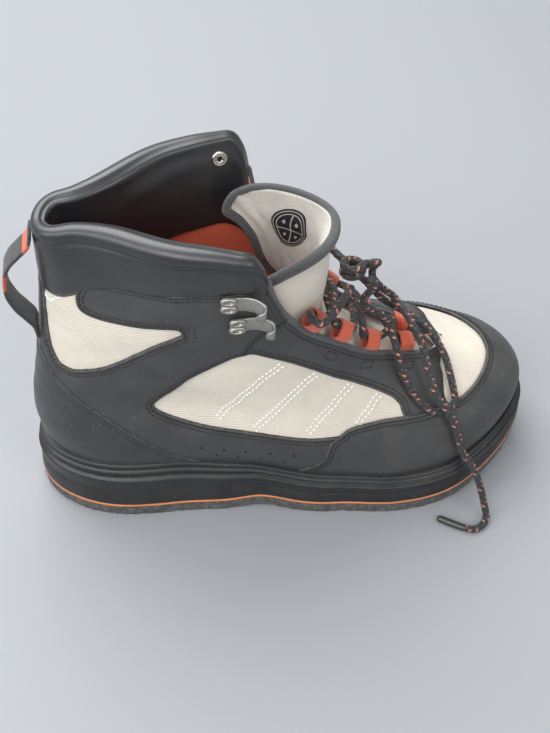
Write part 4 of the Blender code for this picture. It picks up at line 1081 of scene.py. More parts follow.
def joined(rows):
    """One array of places, of headings and of normals from several rows of stitches."""
    return [np.concatenate(part) for part in zip(*rows)]


def seam(lines, insets, lift, thread=SEAM_THREAD):
    """Places, headings and normals of the stitches along flat lines, moved in by each inset."""
    found = []
    for line in lines:
        for inset in insets:
            flat = moved_in(line, inset) if inset else line
            flat = flat[flat[:, 1] > 0.12]
            points = over_boot(flat[:, 0], flat[:, 1], np.full(len(flat), lift))
            outs = ways(flat[:, 0], flat[:, 1])[2]
            places, headings = spaced(points, thread.pitch)
            index = np.argmin(np.linalg.norm(places[:, None] - points[None], axis=-1), axis=1)
            out = unit(outs[index] - headings * np.sum(outs[index] * headings, -1, keepdims=True))
            found.append((places, headings, out))
    return joined(found)


ON_PANEL = 0.00160
DOUBLE = (0.0021, 0.0043)
rows = [
    seam([quarter_lines[2], quarter_lines[5]], DOUBLE, ON_PANEL),
    seam([quarter_lines[3]], (0.0015, 0.0035), ON_PANEL),
    seam([inner_quarter_lines[5], inner_quarter_lines[2]], DOUBLE, ON_PANEL),
    seam([inner_quarter_lines[4]], (0.0015, 0.0035), ON_PANEL),
    seam([facing_lines[0], facing_lines[2]], DOUBLE, ON_PANEL - 0.0005),
    seam([facing_lines[3]], (0.0040,), ON_PANEL - 0.0005),
    seam([inner_facing_lines[5], inner_facing_lines[3]], DOUBLE, ON_PANEL - 0.0005),
    seam([inner_facing_lines[2]], (0.0040,), ON_PANEL - 0.0005),
    seam([cap_lines[1]], DOUBLE, ON_PANEL + 0.0011),
]
stitches = beads("seam_stitches", *joined(rows), SEAM_THREAD[1:], black_thread)
print("seam stitches:", sum(len(row[0]) for row in rows))

# %% Quilting lines of the midfoot windows
QUILT_THREAD, QUILT_APART = Thread(0.0030, 0.0025, 0.0011, 0.0009), 0.0032
QUILTING = [
    [(117.3, 5.88), (108, 5.6), (98, 5.1), (89, 4.45), (82, 3.87), (75.5, 3.15)],
    [
        (127.5, 5.43), (122, 5.33), (115.5, 5.1), (107.5, 4.7), (100, 4.27), (92.5, 3.7), (86.5, 3.1),
        (82.8, 2.60)
    ],
    [(132.7, 4.83), (124, 4.6), (113, 4.13), (102.5, 3.43), (96.3, 2.82)],
    [(133.4, 4.30), (128.5, 4.17), (122.5, 3.9), (116.5, 3.6), (112, 3.30)],
]
MEDIAL_QUILTING = [
    [(108, 5.60), (100, 5.35), (90, 4.85), (80, 4.30)], [(120, 5.15), (110, 4.75), (100, 4.20), (92, 3.65)],
    [(128, 4.50), (120, 4.20), (112, 3.78), (105, 3.35)],
]
quilt_rows = []
for lines, side in ((QUILTING, -1), (MEDIAL_QUILTING, 1)):
    for points in lines:
        flat = stroke([(float(turn_of(turn, side)), level) for turn, level in points])
        for shift in (0.0, QUILT_APART):
            quilt_rows.append(seam([flat], (shift,), 0.0003, QUILT_THREAD))
quilt = beads("window_stitches", *joined(quilt_rows), QUILT_THREAD[1:], cream_thread)

# %% Punched holes of the foxing, drawn as black discs: painted shade in the holes
PUNCHED = [
    (68.5, 1.37), (74, 1.3), (79, 1.25), (85, 1.3), (90.5, 1.45), (72, 0.85), (77, 0.72), (82.5, 0.70),
    (88, 0.80)
]
MEDIAL_PUNCHED = [
    (74, 3.2), (80, 2.95), (86, 2.65), (92, 2.35), (72, 2.55), (78, 2.25), (84, 1.95), (90, 1.70), (96, 1.50),
    (76, 1.65), (82, 1.35), (88, 1.10), (94, 0.95), (80, 0.85), (86, 0.65)
]
# Each hole is a thin black disc laid on the leather, not an opening: painted shade.
hole_painted_shade, tree, shader = finish("painted_hole_shade", (0.004, 0.004, 0.004), 0.9)
spots = np.array(PUNCHED + [(360 - turn, level) for turn, level in MEDIAL_PUNCHED])
ahead, _, outs = ways(spots[:, 0], spots[:, 1])
places = over_boot(spots[:, 0], spots[:, 1], np.full(len(spots), 0.00172))
hole_shade_discs = beads("punched_holes_painted_shade", places, unit(ahead), outs, (0.0019, 0.0017, 0.0004), hole_painted_shade, (10, 5))
print("punched holes:", len(spots))

# %% [markdown]
# ## Tubes
# Laces, piping and bindings are grids rolled round a route. The frame that carries the ring is turned as
# little as possible from point to point, so the braid doesn't twist where the route bends.

# %% A rolled tube
def smooth_route(points, spacing):
    points = np.asarray(points, float)
    run = run_of(points)
    places = np.linspace(0, run[-1], max(2, round(run[-1] / spacing)) + 1)
    return np.stack([through(run, points[:, axis], places) for axis in range(3)], -1)


def frames_along(route, first_out):
    """Directions along, out and aside at each point of a route."""
    along = unit(np.gradient(route, axis=0))
    out = np.asarray(first_out, float)
    outs = []
    for way in along:
        out = unit(out - way * (out @ way))
        outs.append(out)
    outs = np.array(outs)
    return along, outs, np.cross(along, outs)


def tube(
    name, route, radius, material, around=12, flat=1.0, first_out=(0, 0, 1), outs=None, relief=0.0,
    pitch=0.0048, ends=True
):
    """A closed tube along a route. flat below 1 presses it against the form, relief raises a braid."""
    along, out, aside = frames_along(route, first_out)
    if outs is not None:
        out = unit(outs - along * np.sum(outs * along, -1, keepdims=True))
        aside = np.cross(along, out)
    run = run_of(route)
    turn = np.linspace(0, 2 * math.pi, around, endpoint=False)
    size = np.full((len(route), around), radius)
    if relief:
        helices = [4 * turn[None] + sign * 2 * math.pi * run[:, None] / pitch / 2 for sign in (1, -1)]
        size = size - relief * (1 - np.abs(np.sin(helices[0]) * np.sin(helices[1])))
    if ends:
        share = np.minimum(run, run[-1] - run) / radius
        size = size * np.sqrt(1 - (1 - np.clip(share, 0, 1)) ** 2)[:, None]
    ring = out[:, None] * np.sin(turn)[None, :, None] * flat + aside[:, None] * np.cos(turn)[None, :, None]
    points = route[:, None] + ring * size[..., None]
    return bent_grid(name, points, [material], (1.0, run[-1]), rings=True)


# %% [markdown]
# ## Lace
# One lace runs down through the webbing loops, across the lowest pair and back up to a knot in front of the
# tongue. From the knot one loop and one end hang over the vamp, as in the photograph. The routes repeat the
# solids' own.

# %% Places of the webbing loops and the crossings
SIDE_COLUMNS = 34
LOOP_COLUMNS = [30, 27, 24, 21]
LOOP_LENGTH, LOOP_HEIGHT, LOOP_SINK, LOOP_REACH = 0.0125, 0.0084, 0.0034, 0.0014
WEBBING_THICK, WEBBING_WIDTH = 0.0013, 0.0095
EDGES = {side: even_top(side, SIDE_COLUMNS) for side in (-1, 1)}


def loop_frame(side, place):
    """A lace loop's place on the throat's edge, and its ways out, into the throat and up along it."""
    turns_, levels_ = EDGES[side]
    near, edge, far = [form(turns_[c], levels_[c]) for c in (place - 1, place, place + 1)]
    up = unit(near - far)
    out = ways(turns_[place], levels_[place])[2]
    out = unit(out - up * (out @ up))
    return edge, out, unit(np.cross(up, out)) * -side, up


CROSSING_ORDER = [(-1, 3), (1, 2), (-1, 1), (1, 0), (-1, 0), (1, 1), (-1, 2), (1, 3)]
THROUGH_LOOP, LOWEST_BOW, OVER_BOW, UNDER_BOW = 0.0064, 0.0030, 0.0078, 0.0024


def crossing_route():
    """Places that the lace passes: down through four webbing loops, across, and up through the other four."""
    stations = []
    for side, loop in CROSSING_ORDER:
        edge, out, into, up = loop_frame(side, LOOP_COLUMNS[loop])
        reach = LOOP_REACH + LOOP_LENGTH - LOOP_HEIGHT / 2
        stations.append((edge + into * reach + out * (LOOP_HEIGHT / 2 - LOOP_SINK), out, up))
    points = []
    for i, (centre, out, up) in enumerate(stations):
        way = -up if i < 4 else up
        steps = (-THROUGH_LOOP, -0.0035, 0.0, 0.0035, THROUGH_LOOP)
        points += [centre + way * step for step in steps]
        if i == 3:
            after, _, after_up = stations[i + 1]
            middle = (centre + way * THROUGH_LOOP + after - after_up * THROUGH_LOOP) / 2
            points += [middle - up * LOWEST_BOW]
        elif i < len(stations) - 1:
            after, after_out, after_up = stations[i + 1]
            after_way = -after_up if i + 1 < 4 else after_up
            middle = (centre + way * THROUGH_LOOP + after - after_way * THROUGH_LOOP) / 2
            points += [middle + unit(out + after_out) * (OVER_BOW if i < 3 else UNDER_BOW)]
    return points


# %% Routes of the lace
Lie = namedtuple("Lie", "side angle level lift")
LOOP_ROUTE = [
    Lie(1, 170.0, 6.30, 16.0), Lie(1, 166.0, 5.70, 14.0), Lie(1, 168.0, 5.20, 12.5),
    Lie(1, 172.0, 4.75, 11.5), Lie(-1, 178.0, 4.35, 9.0), Lie(-1, 163.0, 3.95, 5.5),
    Lie(-1, 150.0, 3.50, 4.2), Lie(-1, 143.5, 3.15, 4.2), Lie(-1, 138.0, 3.02, 4.2),
    Lie(-1, 134.5, 3.18, 4.2), Lie(-1, 135.5, 3.55, 4.2), Lie(-1, 140.0, 4.00, 4.6),
    Lie(-1, 149.0, 4.50, 6.5), Lie(-1, 163.0, 5.00, 11.0), Lie(-1, 174.0, 5.40, 13.5),
    Lie(-1, 174.0, 6.15, 14.0),
]
END_ROUTE = [
    Lie(1, 170.0, 5.90, 20.0), Lie(1, 170.0, 5.30, 18.5), Lie(-1, 178.0, 4.90, 17.5),
    Lie(-1, 164.0, 4.55, 14.0), Lie(-1, 151.0, 4.15, 11.0), Lie(-1, 141.5, 3.65, 10.5),
    Lie(-1, 137.5, 3.20, 10.2), Lie(-1, 135.5, 2.70, 9.0),
]
END_FALL = [
    (255, -52.5, 51), (262, -56.5, 40), (267, -61, 28), (271, -66, 14), (273, -71, 4.5), (270, -76, 2.8),
    (263, -79, 2.8), (257, -77, 2.8)
]
AGLET_FALL = [(259.5, -78.2, 2.8), (255.9, -76.35, 2.8), (242, -68, 2.8)]
KNOT_AT = (187, -6, 170)
LOOP_OUT, LOOP_BACK = [(7.4, 5.1, -2.0), (11.0, 8.0, -6.0)], [(11.0, -7.5, -6.0), (7.4, -5.1, -2.0)]
END_OUT = [(8.4, 0.0, 3.0), (13.5, 1.0, 2.0)]
KNOT_RADIUS, KNOT_TURNS, AGLET, LACE_STEP = 0.0052, 2, 0.0050, 0.0009


def back_based(point):
    return np.array(point) / 1000 - (HEEL_SETBACK, 0, 0)


def lying(row):
    return on_form(float(turn_of(row.angle, row.side)), row.level, row.lift / 1000)


knot = back_based(KNOT_AT)
crossings = crossing_route()
leads = []
for side, leaves in ((-1, crossings[0]), (1, crossings[-1])):
    _, out, _, up = loop_frame(side, LOOP_COLUMNS[3])
    high = leaves + up * 0.0050 + out * 0.0130
    leads.append([knot + (-0.001, 0.0084 * side, -0.0050), high, leaves + up * 0.0045 + out * 0.0040])
near_knot = [[knot + np.array(p) / 1000 for p in places] for places in (LOOP_OUT, LOOP_BACK, END_OUT)]
end_places = near_knot[2] + [lying(r) for r in END_ROUTE] + [back_based(p) for p in END_FALL]
bars_route = smooth_route(leads[0] + crossings + leads[1][::-1], LACE_STEP)
loop_route = smooth_route(near_knot[0] + [lying(r) for r in LOOP_ROUTE] + near_knot[1], LACE_STEP)
end_route = smooth_route(end_places, LACE_STEP)
coil = np.linspace(0, 1, 121)
wound = 2 * math.pi * KNOT_TURNS * coil
climb = (coil - 0.5) * (LACE + 0.0008) * KNOT_TURNS
knot_route = knot + np.stack([KNOT_RADIUS * np.cos(wound), KNOT_RADIUS * np.sin(wound), climb], -1)


def line_length(route):
    return float(np.sum(np.linalg.norm(np.diff(route, axis=0), axis=1)))


# %% Braided lace, knot and tip
BRAID_RELIEF = 0.00022
bars = tube("lace_crossings", bars_route, LACE / 2, lace_braid, 16, relief=BRAID_RELIEF)
wrap = tube("lace_knot_wrap", knot_route, LACE / 2, lace_braid, 16, relief=BRAID_RELIEF)
hanging = tube("lace_hanging_loop", loop_route, LACE / 2, lace_braid, 16, relief=BRAID_RELIEF)
loose = tube("lace_loose_end", end_route, LACE / 2, lace_braid, 16, relief=BRAID_RELIEF)
tip_route = smooth_route([back_based(p) for p in AGLET_FALL], 0.0006)
tip = tube("lace_tip", tip_route, AGLET / 2 - 0.0002, tip_plastic, 16)
for piece, node in ((bars, "lace_bars"), (wrap, "lace_knot"), (hanging, "lace_loop"), (loose, "lace_end")):
    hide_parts(node)
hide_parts("aglet")
for piece, route, far, extra in (
    (hanging, loop_route, "knot", []), (loose, end_route, "fitting", [tip]), (wrap, knot_route, "knot", [])
):
    print("%s: %.0f mm" % (piece.name, line_length(route) * 1000))

# %% [markdown]
# ## Webbing loops
# Eight short loops of ribbed orange webbing carry the lace. Each is a flat ribbon bent into a long ring, a
# little thicker in its middle, and its ribs run across it.

# %% Webbing loops
def ribbon_ring(name, side, place):
    edge, out, into, up = loop_frame(side, place)
    radius = LOOP_HEIGHT / 2
    straight = LOOP_LENGTH - LOOP_HEIGHT
    start = edge + into * (LOOP_REACH + radius) + out * (radius - LOOP_SINK)
    turn = np.linspace(0, 2 * math.pi, 72, endpoint=False)
    shift = straight * smooth_step(np.cos(turn), -0.25, 0.25)
    way = into * np.cos(turn)[:, None] + out * np.sin(turn)[:, None]
    centre = start + into * shift[:, None]
    across = np.array([-0.5, -0.48, -0.36, -0.12, 0.12, 0.36, 0.48, 0.5])
    lift = np.array([-0.5, 0.0, 0.0, 0.02, 0.02, 0.0, 0.0, -0.5]) * WEBBING_THICK
    ribs = 0.00010 * np.cos(turn * 26)
    rows = []
    for half, rise in zip(across, lift):
        reach = radius + rise + (ribs if abs(half) < 0.45 else 0 * ribs)
        rows.append(centre + way * reach[:, None] + up * half * WEBBING_WIDTH)
    for half in across[::-1]:
        rows.append(centre + way * (radius - WEBBING_THICK) + up * half * WEBBING_WIDTH * 0.98)
    rows.append(rows[0])
    return bent_grid(name, np.array(rows), [webbing], (0.036, 0.02), rings=True)


for side, label in ((-1, "lateral"), (1, "medial")):
    for number, place in enumerate(LOOP_COLUMNS, 1):
        band = ribbon_ring("webbing_%s_%d" % (label, number), side, place)
        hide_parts("webbing_loop_%s_%d" % (label, number))

# %% [markdown]
# ## Padded collar
# The collar is a foam pad under smooth black skin. It starts at a seam outside, swells, dips at the pinched
# seam just under the rim, rolls over the rim and fills the inside of the ankle. One ring is drawn for each
# column of the net.

# %% Collar pads
Pad = namedtuple("Pad", "place outer inner")
FULLNESS = [
    Pad(0, 0.45, 0.25), Pad(0.06, 0.65, 0.45), Pad(0.16, 1, 0.9), Pad(0.27, 1, 0.85), Pad(0.36, 0.85, 0.40),
    Pad(0.47, 0.30, 0.08),
]
PAD_SEAMS = [
    Pad(0, 0.755, 0.65), Pad(0.06, 0.760, 0.595), Pad(0.10, 0.792, 0.56), Pad(0.16, 0.830, 0.60),
    Pad(0.22, 0.828, 0.635), Pad(0.32, 0.838, 0.685), Pad(0.42, 0.895, 0.76), Pad(0.51, 0.950, 0.80),
]
COLLAR_OUT, COLLAR_IN, SKIN = 0.0035, 0.009, 0.0008
COLLAR_LAST = 50
VALLEY_AT, VALLEY_WIDTH, VALLEY_DEPTH = 0.885, 0.022, 0.0014


def pad_at(place, rows, name):
    """A value of the pad's table at a place from the heel, 0, to the toe, 1."""
    return np.interp(place, column(rows, "place"), column(rows, name))


def on_net(side, c, heights, lift):
    """Points on one column of the upper's net at shares of its height, lifted off the form."""
    turns_, levels_ = sides[0 if side < 0 else 1]
    steps = np.linspace(0, 1, turns_.shape[1])
    return on_form(np.interp(heights, steps, turns_[c]), np.interp(heights, steps, levels_[c]), lift)


def rise_of(side, c):
    low, high = on_net(side, c, np.array([0.985, 1.0]), np.zeros(2))
    return unit(high - low)


def collar_ring(side, c, size=1.0):
    """One closed ring of the collar: outer pad, rim, inner pad, and back hidden in the upper's wall."""
    place = c / (SHELL_COLUMNS - 1)
    outer = COLLAR_OUT * pad_at(place, FULLNESS, "outer") * size
    inner = COLLAR_IN * pad_at(place, FULLNESS, "inner") * size
    thin = SKIN * size
    low_out, low_in = pad_at(place, PAD_SEAMS, "outer"), pad_at(place, PAD_SEAMS, "inner")
    share = np.linspace(0, 1, 31)
    swell = 0.02 + 0.98 * np.sin(np.pi * share / 1.5) ** 0.62
    valley = np.exp(-(((share - VALLEY_AT) / VALLEY_WIDTH) ** 2)) * VALLEY_DEPTH * size
    uneven = 0.00025 * np.sin(place * 60 + share * 5) * np.sin(share * np.pi) * size
    outside = on_net(
        side, c, low_out + (1 - low_out) * share,
        GAP + (thin + outer * swell) * np.minimum(1, share * 12 + 0.1) - valley + uneven
    )
    bend = np.linspace(0, np.pi, 15)[1:-1]
    near, far = GAP + thin + outer * 0.90, -WALL - GAP - thin - inner * 0.62
    up = rise_of(side, c)
    top = GAP + thin + (outer + inner) * 0.35
    fold = 0.0009 * size * np.exp(-(((bend - 2.0) / 0.22) ** 2))
    rim = (
        on_net(side, c, np.ones(13), (near + far) / 2 + (near - far) / 2 * np.cos(bend))
        + up * ((top + GAP) * np.sin(bend) - fold)[:, None]
    )
    share = np.linspace(1, 0, 31)
    filled = np.sin(np.radians(12 + 78 * np.minimum(share / 0.6, 1)))
    fullness = filled * (1 - 0.38 * smooth_step(share, 0.80, 1.0))
    soft = 0.0005 * np.sin(place * 34 + 1.0) * np.sin(share * np.pi) * size
    within = on_net(side, c, low_in + (1 - low_in) * share, -WALL - GAP - thin - inner * fullness + soft)
    hidden_up = on_net(side, c, np.linspace(low_in, 1, 10), np.full(10, -WALL * 0.7))
    hidden_down = on_net(side, c, np.linspace(1, low_out, 10), np.full(10, -WALL * 0.3))
    return np.concatenate([outside, rim, within, hidden_up, hidden_down])


rings = []
for side, columns in ((-1, range(COLLAR_LAST, -1, -1)), (1, range(1, COLLAR_LAST + 1))):
    for c in columns:
        share = np.clip((COLLAR_LAST - c + 0.02) / 4, 0, 1)
        rings.append(collar_ring(side, c, math.sqrt(1 - (1 - share) ** 2)))
rings = np.array(rings)
spread = np.exp(-0.5 * (np.arange(-9, 10) / 3.5) ** 2)
ends = np.concatenate([2 * rings[:1] - rings[9:0:-1], rings, 2 * rings[-1:] - rings[-2:-11:-1]])
soft = sum(weight * ends[i:i + len(rings)] for i, weight in enumerate(spread / spread.sum()))
from_heel = np.abs(np.arange(len(rings)) - COLLAR_LAST)
keep = (smooth_step(from_heel, 12, 24) * smooth_step(COLLAR_LAST - from_heel, 7, 15))[:, None, None]
rings = rings * (1 - keep) + soft * keep
collar = bent_grid("collar_padding", rings, [padding], (0.3, 0.4), rings=True, outwards=True)
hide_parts("collar")
print("collar:", len(collar.data.polygons), "faces")

# %% Zigzag thread on the textile below the pad, and the backstay strip
ZIGZAG_THREAD, ZIGZAG_SWING = Thread(0.0009, 0.0010, 0.0005, 0.0005), 0.055
ZIGZAG = [(10.5, 7.44), (18, 7.40), (28, 7.58), (37, 7.76), (42, 7.85)]
zigs = []
for side in (-1, 1):
    line = stroke([(float(turn_of(turn, side)), level) for turn, level in ZIGZAG], 0.0014)
    line[:, 1] += np.where(np.arange(len(line)) % 2, ZIGZAG_SWING, -ZIGZAG_SWING)
    zigs.append(seam([line], (0.0,), 0.0002, ZIGZAG_THREAD))
zigzag = beads("zigzag_stitches", *joined(zigs), ZIGZAG_THREAD[1:], cream_thread)

BACKSTAY = [
    [(-8.6, 5.4), (0, 5.4), (8.6, 5.4)], [(8.6, 5.4), (9.2, 6.4), (8.8, 7.1), (8.2, 7.72)],
    [(8.2, 7.72), (0, 7.72), (-8.2, 7.72)], [(-8.2, 7.72), (-8.8, 7.1), (-9.2, 6.4), (-8.6, 5.4)],
]
backstay, _ = panel("backstay_strip", BACKSTAY, binding, lift=0.0012, thick=0.0010, groove=())

# %% [markdown]
# ## Tongue
# The tongue is a soft pad of pale suede inside and textile outside, bound with woven tape. It lies in the
# throat below and curls round the ankle above. Two long folds run down its inner side, as in the
# photograph.

# %% The tongue's form
Fold = namedtuple("Fold", "front height half wrap_lateral wrap_medial rise_lateral rise_medial")
TONGUE_FOLDS = [
    Fold(0.572, 0.63, 0.245, 0.31, 0.35, 0.00, 0.00), Fold(0.570, 0.72, 0.255, 0.32, 0.43, 0.00, 0.02),
    Fold(0.578, 0.81, 0.268, 0.31, 0.52, 0.00, 0.05), Fold(0.585, 0.875, 0.275, 0.29, 0.60, -0.01, 0.10),
]
Tuck = namedtuple("Tuck", "level lateral medial")
TONGUE_TUCKS = [
    Tuck(3.90, 12, 14), Tuck(4.25, 20, 24), Tuck(4.70, 29, 36), Tuck(5.20, 37, 44), Tuck(5.80, 45, 52),
    Tuck(6.40, 50, 57),
]
TONGUE_THICK, TONGUE_SINK = 0.005, 0.0064
ACROSS, TONGUE_ROWS = np.linspace(-1, 1, 65), 73


def tongue_shape():
    """Points of the tongue's outer face from its sewn end to its free end, rows by places across."""
    rows = []
    for tuck in TONGUE_TUCKS:
        spread = np.where(ACROSS < 0, tuck.lateral, tuck.medial)
        turns_ = np.where(ACROSS < 0, 180 - spread * np.abs(ACROSS), 180 + spread * np.abs(ACROSS))
        sunk = WALL + TONGUE_SINK * (0.25 + 0.75 * (1 - ACROSS ** 2))
        rows.append(on_form(turns_, np.full(len(ACROSS), tuck.level), -sunk))
    bend = np.abs(ACROSS) * np.pi / 2
    for fold in TONGUE_FOLDS:
        wrap = np.where(ACROSS < 0, fold.wrap_lateral, fold.wrap_medial) * BALL_WIDTH
        rise = np.where(ACROSS < 0, fold.rise_lateral, fold.rise_medial) * (SHAFT_RISE - INSTEP_RISE)
        height = (
            HEEL_STACK + INSTEP_RISE + fold.height * (SHAFT_RISE - INSTEP_RISE) + rise * (1 - np.cos(bend))
        )
        front = fold.front * LENGTH - HEEL_SETBACK - wrap * (1 - np.cos(bend))
        rows.append(np.stack([front, np.sign(ACROSS) * fold.half * BALL_WIDTH * np.sin(bend), height], -1))
    rows = np.array(rows)
    middle = rows[:, len(ACROSS) // 2]
    places = run_of(middle)
    wanted = np.linspace(0, places[-1], TONGUE_ROWS)
    return np.stack(
        [[through(places, rows[:, c, axis], wanted) for c in range(len(ACROSS))] for axis in range(3)], -1
    ).swapaxes(0, 1)


tongue_net = tongue_shape()


def on_tongue(across, along, depth=0.0):
    """A point of the tongue: across runs -1 to 1, along 0 to 1, and depth goes in from the outer face."""
    i = np.clip(np.asarray(along, float), 0, 1) * (TONGUE_ROWS - 1)
    j = (np.asarray(across, float) + 1) / 2 * (len(ACROSS) - 1)
    i, j = np.broadcast_arrays(i, np.clip(j, 0, len(ACROSS) - 1))
    i0, j0 = np.minimum(i.astype(int), TONGUE_ROWS - 2), np.minimum(j.astype(int), len(ACROSS) - 2)
    p, q = (i - i0)[..., None], (j - j0)[..., None]
    corners = [tongue_net[i0 + a, j0 + b] for a, b in ((0, 0), (0, 1), (1, 0), (1, 1))]
    point = (corners[0] * (1 - q) + corners[1] * q) * (1 - p) + (corners[2] * (1 - q) + corners[3] * q) * p
    aside = corners[1] - corners[0] + corners[3] - corners[2]
    out = unit(np.cross(aside, corners[2] - corners[0] + corners[3] - corners[1]))
    return point - out * np.asarray(depth, float)[..., None]


def free_end(across):
    return 1.0 - 0.10 * np.abs(across) ** 5


PATCH_AT, PATCH_SIZE, PATCH_TALL = (0.54, 0.86), 0.0115, 1.3
Pleat = namedtuple("Pleat", "middle lean width depth")
PLEATS = [Pleat(0.79, 0.06, 0.026, 0.0016), Pleat(0.90, 0.04, 0.026, 0.0013)]


def inner_depth(across, along):
    """How far the inner face lies behind the outer one: a soft pad with folds and a stitched crescent."""
    depth = TONGUE_THICK * (0.35 + 0.65 * (1 - np.abs(across) ** 6))
    for pleat in PLEATS:
        across_it = (across - pleat.middle - pleat.lean * (along - 0.8)) / pleat.width
        reach = smooth_step(along, 0.45, 0.62) * smooth_step(1.0 - along, 0.01, 0.06)
        depth = depth - pleat.depth * (np.exp(-(across_it ** 2)) * reach)
    ridge = np.exp(-(((across - 0.845 - 0.05 * (along - 0.8)) / 0.030) ** 2)) * smooth_step(along, 0.5, 0.7)
    depth = depth + 0.0009 * ridge
    reach = np.hypot((across - PATCH_AT[0] + 0.03) / 0.24, (along - PATCH_AT[1] + 0.02) / 0.155)
    below = smooth_step(PATCH_AT[1] - along, 0.0, 0.05)
    return depth - 0.0011 * np.exp(-(((reach - 1.0) / 0.07) ** 2)) * below


along = np.linspace(0, 1, 90)[:, None] * free_end(ACROSS)[None]
across = np.broadcast_to(ACROSS, along.shape)
front = on_tongue(across, along)
behind = on_tongue(across, along, inner_depth(across, along))[:, ::-1]
table = np.concatenate([front, behind], axis=1)
closed = [(table[0] + table[0][::-1]) / 2, *table, (table[-1] + table[-1][::-1]) / 2]
tongue = bent_grid("tongue_padding", np.array(closed), [suede, cream], (0.24, 0.2), rings=True, outwards=True)
for face in tongue.data.polygons:
    face.material_index = int(tongue.data.uv_layers[0].data[face.loop_start].uv.x < 0.12)
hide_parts("tongue")
print("tongue:", len(tongue.data.polygons), "faces")

# %% Woven binding round the tongue's free edge
EDGE_ACROSS = 0.995
rise = np.linspace(0.42, 0.90, 24)
arc = np.linspace(-1, 1, 61)
edge = np.concatenate([
    on_tongue(np.full(len(rise), -EDGE_ACROSS), rise, 0.0014),
    on_tongue(arc * EDGE_ACROSS, free_end(arc) - 0.004, 0.0020),
    on_tongue(np.full(len(rise), EDGE_ACROSS), rise[::-1], 0.0014),
])
edge = smooth_route(edge[::3], 0.0012)
middle = on_tongue(0.0, 0.8, 0.03)
bound = tube("tongue_binding", edge, 0.0031, binding, 14, flat=0.72, outs=unit(edge - middle))

# %% Round black patch with pale rings on the tongue's inner side
patch_black, tree, shader = finish("woven_patch", (0.010, 0.010, 0.011), 0.7)
uv = own_uv(tree)
wheel = calc(tree, "ABSOLUTE", calc(tree, "SINE", calc(tree, "MULTIPLY", uv.outputs["X"], 4 * math.pi)))
spoke = calc(tree, "LESS_THAN", calc(tree, "MULTIPLY", wheel, uv.outputs["Y"]), 0.05)
spoke = calc(tree, "MULTIPLY", spoke, calc(tree, "LESS_THAN", uv.outputs["Y"], 0.63))
wide = calc(tree, "COMPARE", uv.outputs["Y"], 0.65, 0.018)
narrow = calc(tree, "COMPARE", uv.outputs["Y"], 0.78, 0.014)
dots = calc(
    tree, "MULTIPLY", calc(tree, "COMPARE", uv.outputs["Y"], 0.42, 0.06),
    calc(tree, "GREATER_THAN", wheel, 0.95)
)
pale = calc(tree, "MAXIMUM", calc(tree, "MAXIMUM", spoke, wide), calc(tree, "MAXIMUM", narrow, dots))
colour_with(tree, shader, (pale, (0.42, 0.41, 0.38)))
bump(tree, shader, own_noise(tree, 2200.0), 0.4, 0.0002)


def slopes_at(across, along):
    """How the tongue's outer face moves by place across and along."""
    wide = (on_tongue(across + 0.02, along) - on_tongue(across - 0.02, along)) / 0.04
    return wide, (on_tongue(across, along + 0.02) - on_tongue(across, along - 0.02)) / 0.04


wide_way, long_way = slopes_at(*PATCH_AT)
level_way = unit(wide_way)
tall_way = unit(long_way - level_way * (long_way @ level_way))
spin = np.linspace(0, 2 * math.pi, 64, endpoint=False)
rows = []
for radius, rise_ in [*[(i / 12, 0.0007) for i in range(12)], (1.0, 0.0005), (1.0, 0.0), (1.0, -0.0006)]:
    offsets = (
        level_way * np.cos(spin)[:, None] * radius * PATCH_SIZE
        + tall_way * np.sin(spin)[:, None] * radius * PATCH_TALL * PATCH_SIZE
    )
    shift = np.linalg.lstsq(np.stack([wide_way, long_way], -1), offsets.T, rcond=None)[0]
    a, b = PATCH_AT[0] + shift[0], PATCH_AT[1] + shift[1]
    rows.append(on_tongue(a, b, inner_depth(a, b) + rise_))
patch = bent_grid("tongue_patch", np.array(rows), [patch_black], (1.0, 1.0), rings=True)

# %% [markdown]
# ## Hooks, eyelet and pull loop
# Each lace hook is a bent steel plate with two tubular rivets. A nickel ring sits inside the ankle, and a
# webbing loop stands off the heel.

# %% Flat bars and turned parts
def bar_section(corner):
    """Places across and depths of a flat bar with eased corners, each as a share of its size."""
    over = [
        (-0.5, 0.5), (-0.49, 1 - corner), (-0.44, 1), (-0.15, 1), (0.15, 1), (0.44, 1), (0.49, 1 - corner)
    ]
    under = [(0.5, 0.5), (0.49, corner), (0.44, 0), (0.15, 0), (-0.15, 0), (-0.44, 0), (-0.49, corner)]
    return over + under


def capped(rows):
    """The sections of a bar from its long rows, with both ends drawn together to a point."""
    table = np.swapaxes(np.array(rows), 0, 1)
    middle = table.mean(1, keepdims=True)
    ends = [middle[part].repeat(table.shape[1], 1) for part in (slice(0, 1), slice(-1, None))]
    return np.concatenate([ends[0], table, ends[1]])


def turned_part(centre, first, second, axis, profile, count):
    """Rows of points of a turned part from (radius, height) in millimetres."""
    spin = np.linspace(0, 2 * math.pi, count, endpoint=False)
    ring = first * np.cos(spin)[:, None] + second * np.sin(spin)[:, None]
    return np.array([centre + ring * radius / 1000 + axis * height / 1000 for radius, height in profile])


# %% Hooks
HOOKS = [("upper", 104.5, 8.03), ("lower", 107.5, 7.45)]
HOOK_BENDS = [(-7, 0), (-1, 0), (5, 0), (9, 0.8), (13, 3), (15.5, 6), (15.2, 9), (12.8, 10.6), (10, 10.2)]
HOOK_WIDTH, HOOK_PLATE, HOOK_CLEAR = 0.0105, 0.0014, 0.0004
RIVET_LONG, RIVET_TALL, RIVET_APART, RIVET_BACK = 1.55, 0.96, 0.30, 0.0030
RIVET = [
    (0.0, -0.4), (1.1, -0.4), (1.3, 0.7), (1.5, 1.25), (1.9, 1.55), (2.4, 1.5), (2.8, 1.1), (2.95, 0.5),
    (3.0, -0.2)
]


